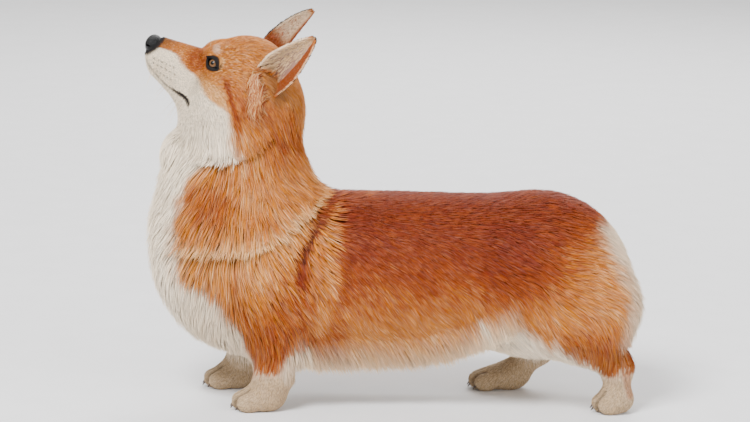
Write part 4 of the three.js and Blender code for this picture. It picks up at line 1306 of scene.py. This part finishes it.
class CorgiSkin(bpy.types.PropertyGroup):
    fine: FloatProperty(name="Fine step", description="Width of the skin's faces on the head",
                        default=1.7 * MM, min=0.5 * MM, unit="LENGTH", precision=4)
    coarse: FloatProperty(name="Coarse step", description="Width of the skin's faces on the body",
                          default=3.4 * MM, min=1 * MM, unit="LENGTH", precision=4)


class CorgiSettings(bpy.types.PropertyGroup):
    colours: PointerProperty(type=CorgiColours)
    coat: PointerProperty(type=CorgiCoat)
    skin: PointerProperty(type=CorgiSkin)


LIMBS = ("foreleg", "forepaw", "thigh", "hock", "hindpaw")
FLESH = ["head", "neck", "chest", "barrel", "rump", "tail_stub"]
FLESH += [f"{part}_{side}" for part in LIMBS for side in ("left", "right")]
SIDES = {"left": 1, "right": -1}
surface = {}       # the skin's points, faces, normals and areas, for the coat that grows on it


def spaced(stops, steps):
    """Grid lines from stop to stop, each stretch with its own step."""
    lines = [np.linspace(a, b, max(2, int(round((b - a) / step)) + 1))[:-1]
             for a, b, step in zip(stops[:-1], stops[1:], steps)]
    return np.concatenate(lines + [[stops[-1]]])


class CORGI_OT_skin(bpy.types.Operator):
    """Wraps the whole body in one skin, with lids and lips on the face"""
    bl_idname = "corgi.skin"
    bl_label = "Skin"

    def execute(self, context):
        settings = context.scene.corgi
        fine, coarse = settings.skin.fine / MM, settings.skin.coarse / MM
        axes = [
            # Fine over the head, in front of -125 and above 345, and along the middle
            spaced((-350, -125, 352), (fine, coarse)),
            spaced((-116, -62, 62, 116), (coarse * 0.8, fine * 1.1, coarse * 0.8)),
            spaced((-3, 345, 528), (coarse, fine)),
        ]
        verts, faces = wrap(skin_field, axes)
        verts[:, 2] = np.maximum(verts[:, 2], 0)
        a, b, c, d = (verts[faces[:, i]] for i in range(4))
        cross = np.cross(c - a, d - b)
        if np.einsum("ij,ij->", (a + b + c + d) / 4, cross) < 0:
            faces, cross = faces[:, ::-1], -cross
        normals = np.zeros_like(verts)
        for i in range(4):
            np.add.at(normals, faces[:, i], cross)
        normals = unit(normals)
        surface.update(verts=verts, faces=faces, normals=normals, area=np.linalg.norm(cross, axis=1) / 2)
        piece = make_piece("skin", verts, faces, coated_skin(settings.colours), "red_coat", FLESH)
        paint(piece, "marks", markings(verts))
        return {"FINISHED"}


def scatter(faces, count, rng):
    """Points spread evenly over some faces of the skin, with their normals."""
    area = surface["area"][faces]
    edges = np.cumsum(area)
    at = (np.arange(count) + rng.uniform(0, 1, count)) / count * edges[-1]
    chosen = faces[np.minimum(np.searchsorted(edges, at), len(faces) - 1)]
    corners = surface["faces"][chosen]
    s, t = rng.uniform(0, 1, (2, count, 1))

    def spread(values):
        low = values[corners[:, 0]] * (1 - s) + values[corners[:, 1]] * s
        high = values[corners[:, 3]] * (1 - s) + values[corners[:, 2]] * s
        return low * (1 - t) + high * t

    return spread(surface["verts"]), unit(spread(surface["normals"]))


def bare(p):
    """Where no hair grows: on the eyes, nose and lips and under the soles."""
    h = in_head(p)
    no_hair = (np.linalg.norm((h - NOSE_AT) / np.array(NOSE_R), axis=1) < 1.12) | (p[:, 2] < 1.5)
    for side in (1, -1):
        opening, ahead = lid_opening(p, side)
        no_hair |= (opening < 2.2) & (ahead > 0)
        gap, along = to_path(p, LIP_PATHS[side])
        no_hair |= gap < 0.5 + 2.0 * along ** 2
    return no_hair


class CORGI_OT_coat(bpy.types.Operator):
    """Grows the coat in tufts that lie along the body, region by region"""
    bl_idname = "corgi.coat"
    bl_label = "Coat"

    def execute(self, context):
        settings = context.scene.corgi
        if not surface:
            raise RuntimeError("the skin comes before the coat")
        middles = surface["verts"][surface["faces"]].mean(1)
        regions = region_of(middles)
        material = guard_hair(settings.colours)
        thin = 1
        for i, name in enumerate(REGIONS):
            rng = np.random.default_rng(settings.coat.seed + i)
            count = getattr(settings.coat, REGIONS[name]["count"]) // thin
            grown = np.nonzero(regions == name)[0]
            area = surface["area"][grown].sum()
            roots, normals = scatter(grown, count, rng)
            keep = ~bare(roots)
            grow(name, roots[keep], normals[keep], area, material, settings.coat.seed * 100 + i)
        return {"FINISHED"}


EYE_RINGS, EYE_SEGMENTS = 40, 48
EYE_INSET = 0.2
CORNEA_BULGE = 0.7
LID_POINTS = 40
LID_RIM = 1.15      # radius of the bare rim


class CORGI_OT_eyes(bpy.types.Operator):
    """Sets an eyeball in each socket, with a bare lid rim round it"""
    bl_idname = "corgi.eyes"
    bl_label = "Eyes"

    def execute(self, context):
        colours = context.scene.corgi.colours
        eye_material, lid_material = wet_eye(colours), lid_skin(colours)
        for word, side in SIDES.items():
            centre, out, front, lift = eye_frame(side)
            rings, segments = EYE_RINGS, EYE_SEGMENTS
            polar = np.linspace(0, math.pi, rings + 1)[1:-1]
            turn = np.arange(segments) / segments * 2 * math.pi
            # The cornea bulges over the iris, out to 36 degrees from its middle
            radius = EYE_R - EYE_INSET + CORNEA_BULGE * ramp(math.radians(36), 0, polar)
            gaze = unit(head_way(np.array(EYE_GAZE) * (1, side, 1)))
            level = unit(np.cross(gaze, lift))
            steep = np.cross(level, gaze)
            ways = (np.cos(polar)[:, None, None] * gaze + np.sin(polar)[:, None, None] * (
                np.cos(turn)[:, None] * level + np.sin(turn)[:, None] * steep))
            verts = (centre + ways * radius[:, None, None]).reshape(-1, 3)
            poles = [centre + gaze * (EYE_R - EYE_INSET + CORNEA_BULGE), centre - gaze * (EYE_R - EYE_INSET)]
            verts = np.concatenate([verts, poles])
            first, last = len(verts) - 2, len(verts) - 1
            faces = []
            for r in range(rings - 2):
                for i in range(segments):
                    j = (i + 1) % segments
                    a, b = r * segments, (r + 1) * segments
                    faces += [(a + i, b + i, b + j), (a + i, b + j, a + j)]
            for i in range(segments):
                j = (i + 1) % segments
                end = (rings - 2) * segments
                faces += [(first, i, j), (last, end + j, end + i)]
            faces = outward(verts, np.array(faces))
            piece = make_piece("eyeball_" + word, verts, faces, eye_material, "eye", ["eye_" + word])
            angle = np.append(np.repeat(np.degrees(polar), segments), (0, 180))
            turns = np.append(np.tile(np.abs(turn / math.pi - 1), rings - 1), (0, 0))
            paint(piece, "eye", np.stack([angle, turns, 0 * angle, 0 * angle + 1], 1))
            around = np.arange(LID_POINTS) / LID_POINTS * 2 * math.pi
            a = np.cos(around) * LID_HALF
            b = np.sign(np.sin(around)) * (1 - np.abs(np.cos(around)) ** LID_POINT)
            b = b * np.where(b > 0, LID_UPPER, LID_LOWER)
            reach = EYE_R + 1.3
            c = np.sqrt(np.maximum(reach ** 2 - a * a - b * b, 1.0))
            rim = centre + a[:, None] * front + b[:, None] * lift + c[:, None] * out
            verts, faces = tube(rim, np.full(LID_POINTS, LID_RIM), 8, closed=True)
            make_piece("lid_rim_" + word, verts, faces, lid_material, "nose")
        return {"FINISHED"}


# Forms of the nose, as centre and radii from the middle of the pad, forward, aside and up
NOSE_WING = ((3.0, 8.5, 0.5), (7.0, 5.0, 6.5))
NOSTRIL = ((9.5, 5.6, 0.2), (4.6, 2.6, 3.2))
NOSTRIL_SLIT = ((6.5, 10.4, -2.0), (5.0, 4.2, 1.3))
NOSE_REACH = 20
NOSE_STEP = 0.7


def level_egg(p, centre, radii):
    """Rough distance to an egg that lies level in the frame of p."""
    return (np.linalg.norm((p - centre) / np.array(radii), axis=1) - 1) * min(radii)


def nose_field(p):
    """The nose pad with its nostrils and the groove down its middle."""
    h = in_head(p) - np.array(NOSE_AT)
    side = h * (1, 0, 1) + np.abs(h) * (0, 1, 0)
    pad = melt(4, level_egg(h, (0, 0, 0), NOSE_R), level_egg(side, *NOSE_WING))
    pit = level_egg(side, *NOSTRIL)
    slit = level_egg(side, *NOSTRIL_SLIT)
    groove = np.hypot(h[:, 1] / 0.9, np.maximum(8.6 - h[:, 0], 0) / 2.0) - 0.75
    groove = np.where(h[:, 2] < 3, groove, 5.0)
    return np.maximum(pad, -np.minimum(np.minimum(pit, slit), groove))


class CORGI_OT_nose(bpy.types.Operator):
    """Wraps the nose pad and its nostrils"""
    bl_idname = "corgi.nose"
    bl_label = "Nose"

    def execute(self, context):
        axes = [np.arange(c - NOSE_REACH, c + NOSE_REACH, NOSE_STEP) for c in on_head(*NOSE_AT)]
        verts, faces = wrap(nose_field, axes)
        leather = nose_leather(context.scene.corgi.colours)
        make_piece("nose_pad", verts, outward(verts, faces), leather, "nose", ["nose"])
        return {"FINISHED"}


# Foot and tip of each ear, the way it faces, its bend sideways and how far up its foot is red inside
EARS = {
    "left": {"foot": (-5, 51, 14), "tip": (-43, 98, 102), "facing": (0.469, 0.833, -0.29), "lean": 0.0,
             "red_to": 0.0},
    "right": {"foot": (6, 49, 18), "tip": (-43, 98, 111), "facing": (0.84, 0.48, -0.25), "lean": 8.0,
              "red_to": 0.36},
}
# Half an ear's width, where it is widest from foot to tip, how deep it is cupped and how thick its skin is
EAR_HALF = 23.5
EAR_WIDEST = 0.28
EAR_CUP = 13.0
EAR_THICK = 3.6
EAR_BAND = -0.42      # inside an ear, the coat is red from its rear edge up to here


def ear_point(word, rise, across, back):
    """Points of an ear, from foot to tip and from rear edge at -1 to front edge at 1, and its ways."""
    side, shape = SIDES[word], EARS[word]
    mirror = np.array([1, side, 1])
    foot = on_head(*(shape["foot"] * mirror))
    up = on_head(*(shape["tip"] * mirror)) - foot
    leaning = head_way(shape["facing"] * mirror)
    facing = unit(leaning - up * (leaning @ up) / (up @ up))
    wide = unit(np.cross(facing, up)) * side
    over = np.clip((rise - EAR_WIDEST) / (1 - EAR_WIDEST), 0, 1)
    under = np.clip((EAR_WIDEST - rise) / EAR_WIDEST, 0, 2)
    half = EAR_HALF * (1 - over ** 1.35) ** 0.75 - np.where(across > 0, 5.0, 1.5) * under ** 2
    half = np.maximum(half, 1.2)
    bowl = 1 - across ** 2
    cup = (EAR_CUP * (half / EAR_HALF) ** 1.2 + 5 * ramp(0.3, 0, rise)) * bowl
    thick = (EAR_THICK - 1.4 * rise) * (0.35 + 0.65 * bowl) * back
    lean = shape["lean"] * np.sin(math.pi * np.clip(rise, 0, 1))
    point = foot + rise[:, None] * up + (across * half + lean)[:, None] * wide
    point = point - (cup + thick)[:, None] * facing
    low = np.nonzero(rise < 0.17)[0]
    if len(low):
        point[low] = mix(point[low], settle(outline, point[low], -2.5, 5), ramp(0.17, 0.0, rise[low]))
    return point, unit(up), facing, wide


def ear_shell(word, rows=44, columns=24):
    """An ear's skin as rings of points round its front and back, and which part of the ear each point is."""
    rise = np.linspace(-0.14, 0.99, rows)
    across = np.linspace(-1, 1, columns)
    loop = np.concatenate([across, across[::-1]])
    n = 2 * columns
    all_rise, all_across = np.repeat(rise, n), np.tile(loop, rows)
    back = np.tile(np.arange(n) >= columns, rows).astype(float)
    verts = ear_point(word, all_rise, all_across, back)[0]
    faces = []
    for r in range(rows - 1):
        for i in range(n):
            j = (i + 1) % n
            a, b = r * n, (r + 1) * n
            faces += [(a + i, a + j, b + j), (a + i, b + j, b + i)]
    for start, turned in ((0, True), ((rows - 1) * n, False)):
        for i in range(columns - 1):
            beyond_edge = start + n - 2 - i
            strip = [(start + i, start + i + 1, beyond_edge), (start + i, beyond_edge, beyond_edge + 1)]
            faces += [s[::-1] for s in strip] if turned else strip
    # Deep in the cup the bare pink skin shows, darkened there as painted shade
    deep = (1 - all_across ** 2) * ramp(0.95, 0.2, all_rise)
    red_to = EARS[word]["red_to"]
    furred = np.maximum(ramp(EAR_BAND + 0.08, EAR_BAND - 0.08, all_across),
                        ramp(red_to + 0.08, red_to - 0.08, all_rise))
    return verts, np.array(faces), np.stack([1 - back, deep, furred, 0 * deep + 1], 1)


def ear_fur(word, count, hair, rng):
    """Short fur on an ear's back and rear band, thin pale hair inside, and a fringe round its edge."""
    kind = rng.choice(4, count, p=[0.44, 0.22, 0.10, 0.24])
    on_back, band, inside, edge = (kind == k for k in range(4))
    rise = rng.uniform(0, 1, count) ** 1.1 * 0.97
    across = rng.uniform(-1, 1, count)
    across[band] = rng.uniform(-1, EAR_BAND, band.sum())
    across[inside] = EAR_BAND + (1 - EAR_BAND) * rng.uniform(0, 1, inside.sum()) ** 0.6
    across[edge] = np.sign(across[edge]) * rng.uniform(0.95, 1.0, edge.sum())
    back = (on_back | edge & (rng.uniform(0, 1, count) < 0.5)).astype(float)
    root, up, facing, wide = ear_point(word, rise, across, back)
    outward = np.where(back[:, None] > 0, -1.0, 1.0) * facing
    length = np.select([band, inside], [5.5 - 2 * rise, 12 - 7 * rise], 6.5 - 2.5 * rise)
    length = length * rng.uniform(0.7, 1.3, count)
    spread = np.select([on_back, band, inside], [0.15 * across, -0.15 + 0 * rise, -0.35 * across],
                       0.25 * np.sign(across))
    way = unit(up + (spread + rng.normal(0, 0.12, count))[:, None] * wide)
    lift = np.where(inside, 1.5, 0.8)[:, None] * outward
    path = np.stack([root - outward * 0.3, root + way * (SHORT[1] * length)[:, None] + lift * 0.8,
                     root + way * length[:, None] + lift], 1)
    pale = ramp(0.3, 0.5, rise) * ramp(-0.3, 0.3, across)
    rear_edge = edge & (across < 0)
    white = np.select([on_back, band, inside | rear_edge], [0.5 * pale, 0 * rise, 0.25 + 0 * rise], 0.6)
    tone = np.select([on_back, band, inside, rear_edge],
                     [mix(0.36, 1.0, pale), 0.38 + 0 * rise, 1 + 0 * rise, 0.75 + 0 * rise], 1.0)
    white = white * ramp(0.96, 0.86, rise)
    tone = mix(tone, 0.55, ramp(0.86, 0.95, rise))
    root_red = ramp(EARS[word]["red_to"] + 0.1, EARS[word]["red_to"], rise) * (1 - on_back)
    white, tone = white * (1 - root_red), mix(tone, 0.45, root_red)
    marks = np.stack([white, tone, 0.5 * inside * (1 - root_red), 0.16 * band], 1)
    width = np.where(inside, 0.9, 1.1) * rng.uniform(0.7, 1.2, count)
    hair_piece("ear_fur_" + word, path, SHORT, width, outward, marks, hair, "ear", rng)


# Where the long hair at an ear's foot starts, bends and ends, as forward and up on the head, front to rear
LOCK_START = ((4, 30), (-15, 2))
LOCK_BEND = ((22, 16), (8, -22))
LOCK_END = ((4, 0), (-18, -36))


def ear_locks(word, count, hair, rng):
    """Long pale hair that sweeps out of an ear's foot, down over the cheek and back in a curl."""
    share = rng.uniform(0, 1, count)[:, None]
    stray = rng.normal(0, 1, (3, count, 2)) * np.array([4.5, 4.5, 6.0])[:, None, None]
    start, bend, end = (np.array(a) + (np.array(b) - np.array(a)) * share + s
                        for (a, b), s in zip((LOCK_START, LOCK_BEND, LOCK_END), stray))
    path = np.zeros((count, len(LONG), 3))
    for k, (s, height) in enumerate(zip(LONG, (-2.0, 2.6, 3.2, 1.0))):
        flat = (1 - s) ** 2 * start + 2 * s * (1 - s) * bend + s * s * end
        beside = np.full(count, 56.0 * SIDES[word])
        spot = HEAD_AT + np.stack([flat[:, 0], beside, flat[:, 1]], 1) @ HEAD_TURN
        path[:, k] = settle(outline, spot, height, 5)
    tone = rng.uniform(0.05, 0.95, count)
    marks = np.stack([0 * tone, tone, 0.35 * tone, 0 * tone], 1)
    normals = unit(slopes(outline, path[:, 0]))
    width = rng.uniform(0.6, 1.1, count)
    pale_tips = 0.3 * ramp(0.6, 1, tone)
    hair_piece("ear_locks_" + word, path, LONG, width, normals, marks, hair, "ear", rng, pale_tips)


class CORGI_OT_ears(bpy.types.Operator):
    """Builds both ears: a cupped leaf of skin with short fur, and the long hair at its foot"""
    bl_idname = "corgi.ears"
    bl_label = "Ears"

    def execute(self, context):
        settings = context.scene.corgi
        leather, hair = ear_leather(settings.colours), guard_hair(settings.colours)
        thin = 1
        for index, word in enumerate(EARS):
            verts, faces, facts = ear_shell(word)
            faces = outward(verts, faces)
            piece = make_piece("ear_shell_" + word, verts, faces, leather, "ear", ["ear_" + word])
            paint(piece, "ear", facts)
            rng = np.random.default_rng(settings.coat.seed * 1000 + index)
            ear_fur(word, settings.coat.ear_tufts // thin, hair, rng)
            ear_locks(word, settings.coat.ear_lock_tufts // thin, hair, rng)
        return {"FINISHED"}


class CORGI_OT_claws(bpy.types.Operator):
    """Sets a curved claw on each toe"""
    bl_idname = "corgi.claws"
    bl_label = "Claws"

    def execute(self, context):
        parts = []
        t = np.linspace(0, 1, 7)
        for shape in LEGS.values():
            for i in TOES:
                x, y, z = toe_at(shape["tip"], i)
                path = np.stack([x - 8 - 9.5 * t, np.full(7, y), z - 2.5 * t - 6.5 * t ** 2], 1)
                parts.append(tube(path, 2.6 - 2.1 * t ** 1.4, 8))
        verts, faces = gather(parts)
        make_piece("claws", verts, faces, claw_horn(context.scene.corgi.colours), "nose")
        return {"FINISHED"}


class CORGI_OT_whiskers(bpy.types.Operator):
    """Sets rows of whiskers on the muzzle and a few over the eyes and on the chin"""
    bl_idname = "corgi.whiskers"
    bl_label = "Whiskers"

    def execute(self, context):
        settings = context.scene.corgi
        rng = np.random.default_rng(settings.coat.seed + 77)
        parts, along = [], []
        t = np.linspace(0, 1, 9)
        for side in (1, -1):
            spots = [(spot, (0.25 - 0.006 * (130 - spot[0]), 0.8, -0.5), rng.uniform(26, 42))
                     for spot in whisker_spots()[1::2]]
            spots += [((92, 24, -52), (0.5, 0.35, -0.75), 40), ((88, 26, -54), (0.4, 0.35, -0.8), 36),
                      ((112, 10, -42), (0.4, 0.4, -0.8), 24), ((76, 22, 34), (0.35, 0.35, 0.8), 18)]
            mirror = np.array([1, side, 1])
            roots = settle(outline, np.array([on_head(*(spot * mirror)) for spot, _, _ in spots]), -1.0, 5)
            for root, (_, way, length) in zip(roots, spots):
                way = unit(head_way(way * mirror) + rng.normal(0, 0.08, 3))
                sag = head_way((-0.3, 0, -0.25)) * length
                path = root + way * (length * t)[:, None] + sag * (0.5 * t ** 2)[:, None]
                parts.append(tube(path, 0.3 * (1 - 0.8 * t), 5))
                along.append(np.repeat(t, 5))
        verts, faces = gather(parts)
        piece = make_piece("whiskers", verts, faces, whisker_hair(settings.colours), "white_coat")
        along = np.concatenate(along)
        paint(piece, "hair", np.stack([along, along, along, along * 0 + 1], 1))
        return {"FINISHED"}


# Camera, in millimetres and degrees
CAMERA_AZIMUTH = -3.0
CAMERA_ELEVATION = 12.0
CAMERA_ROLL = 1.2
CAMERA_DISTANCE = 4000.0
PIXEL_WIDTH = 1.35
CAMERA_TARGET = np.array([-26.0, 0.0, 262.0])
PHOTO_WIDTH = 750
SENSOR = 36.0

# Soft lights, in metres and watts, and the light that the room sends back
LIGHTS = {
    "key": {"at": (-1.5, -2.2, 3.4), "size": 1.5, "power": 300.0},
    "fill": {"at": (2.8, -2.4, 1.6), "size": 2.8, "power": 88.0},
    "rim": {"at": (0.6, 2.8, 2.6), "size": 2.4, "power": 135.0},
}
LIGHTS_AIM = (0.0, 0.0, 0.25)
ROOM_COLOUR = "fffdf9"
ROOM_STRENGTH = 0.8
FLOOR_HALF = 9.0


class CORGI_OT_stage(bpy.types.Operator):
    """Sets the floor, the soft studio lights and the camera"""
    bl_idname = "corgi.stage"
    bl_label = "Stage"

    def execute(self, context):
        scene = context.scene
        mesh = bpy.data.meshes.new("floor")
        corners = [(x * FLOOR_HALF, y * FLOOR_HALF, 0) for x, y in ((-1, -1), (1, -1), (1, 1), (-1, 1))]
        mesh.from_pydata(corners, [], [(0, 1, 2, 3)])
        mesh.materials.append(studio_floor(scene.corgi.colours))
        floor = bpy.data.objects.new("floor", mesh)
        scene.collection.objects.link(floor)
        for name, facts in LIGHTS.items():
            light = bpy.data.lights.new(name, "AREA")
            light.energy = facts["power"]
            light.size = facts["size"]
            lamp = bpy.data.objects.new(name, light)
            lamp.location = facts["at"]
            lamp.rotation_euler = (Vector(LIGHTS_AIM) - lamp.location).to_track_quat("-Z", "Y").to_euler()
            scene.collection.objects.link(lamp)
        world = bpy.data.worlds.new("soft_room")
        world.use_nodes = True
        background = world.node_tree.nodes["Background"]
        background.inputs["Color"].default_value = (*linear(ROOM_COLOUR), 1)
        background.inputs["Strength"].default_value = ROOM_STRENGTH
        scene.world = world

        azimuth, elevation = math.radians(CAMERA_AZIMUTH), math.radians(CAMERA_ELEVATION)
        back = Vector((math.sin(azimuth) * math.cos(elevation), -math.cos(azimuth) * math.cos(elevation),
                       math.sin(elevation)))
        camera = bpy.data.cameras.new("camera")
        camera.sensor_width = SENSOR
        camera.lens = CAMERA_DISTANCE * SENSOR / (PHOTO_WIDTH * PIXEL_WIDTH)
        camera.clip_end = 100
        view = bpy.data.objects.new("camera", camera)
        level = (-back).to_track_quat("-Z", "Y").to_matrix()
        roll = Matrix.Rotation(math.radians(CAMERA_ROLL), 3, "Z")
        place = Vector(to_frame(CAMERA_TARGET)) + back * CAMERA_DISTANCE * MM
        view.matrix_world = Matrix.Translation(place) @ (level @ roll).to_4x4()
        scene.collection.objects.link(view)
        scene.camera = view
        return {"FINISHED"}


class CORGI_PT_panel(bpy.types.Panel):
    """Lists the corgi's steps in the sidebar"""
    bl_idname = "CORGI_PT_panel"
    bl_label = "Corgi"
    bl_space_type = "VIEW_3D"
    bl_region_type = "UI"
    bl_category = "Corgi"

    def draw(self, context):
        for step in STEPS:
            self.layout.operator(step.bl_idname)
        for group in ("colours", "coat", "skin"):
            settings = getattr(context.scene.corgi, group)
            for name in settings.bl_rna.properties.keys():
                if name not in ("name", "rna_type"):
                    self.layout.prop(settings, name)


STEPS = [CORGI_OT_stage, CORGI_OT_skin, CORGI_OT_coat, CORGI_OT_eyes, CORGI_OT_nose, CORGI_OT_ears,
         CORGI_OT_claws, CORGI_OT_whiskers]
CLASSES = [CorgiColours, CorgiCoat, CorgiSkin, CorgiSettings, *STEPS, CORGI_PT_panel]


def register():
    for kind in CLASSES:
        bpy.utils.register_class(kind)
    bpy.types.Scene.corgi = PointerProperty(type=CorgiSettings)


def unregister():
    del bpy.types.Scene.corgi
    for kind in reversed(CLASSES):
        bpy.utils.unregister_class(kind)


def main():
    register()
    for step in STEPS:
        area, action = step.bl_idname.split(".")
        getattr(getattr(bpy.ops, area), action)()


if __name__ == "__main__":
    main()
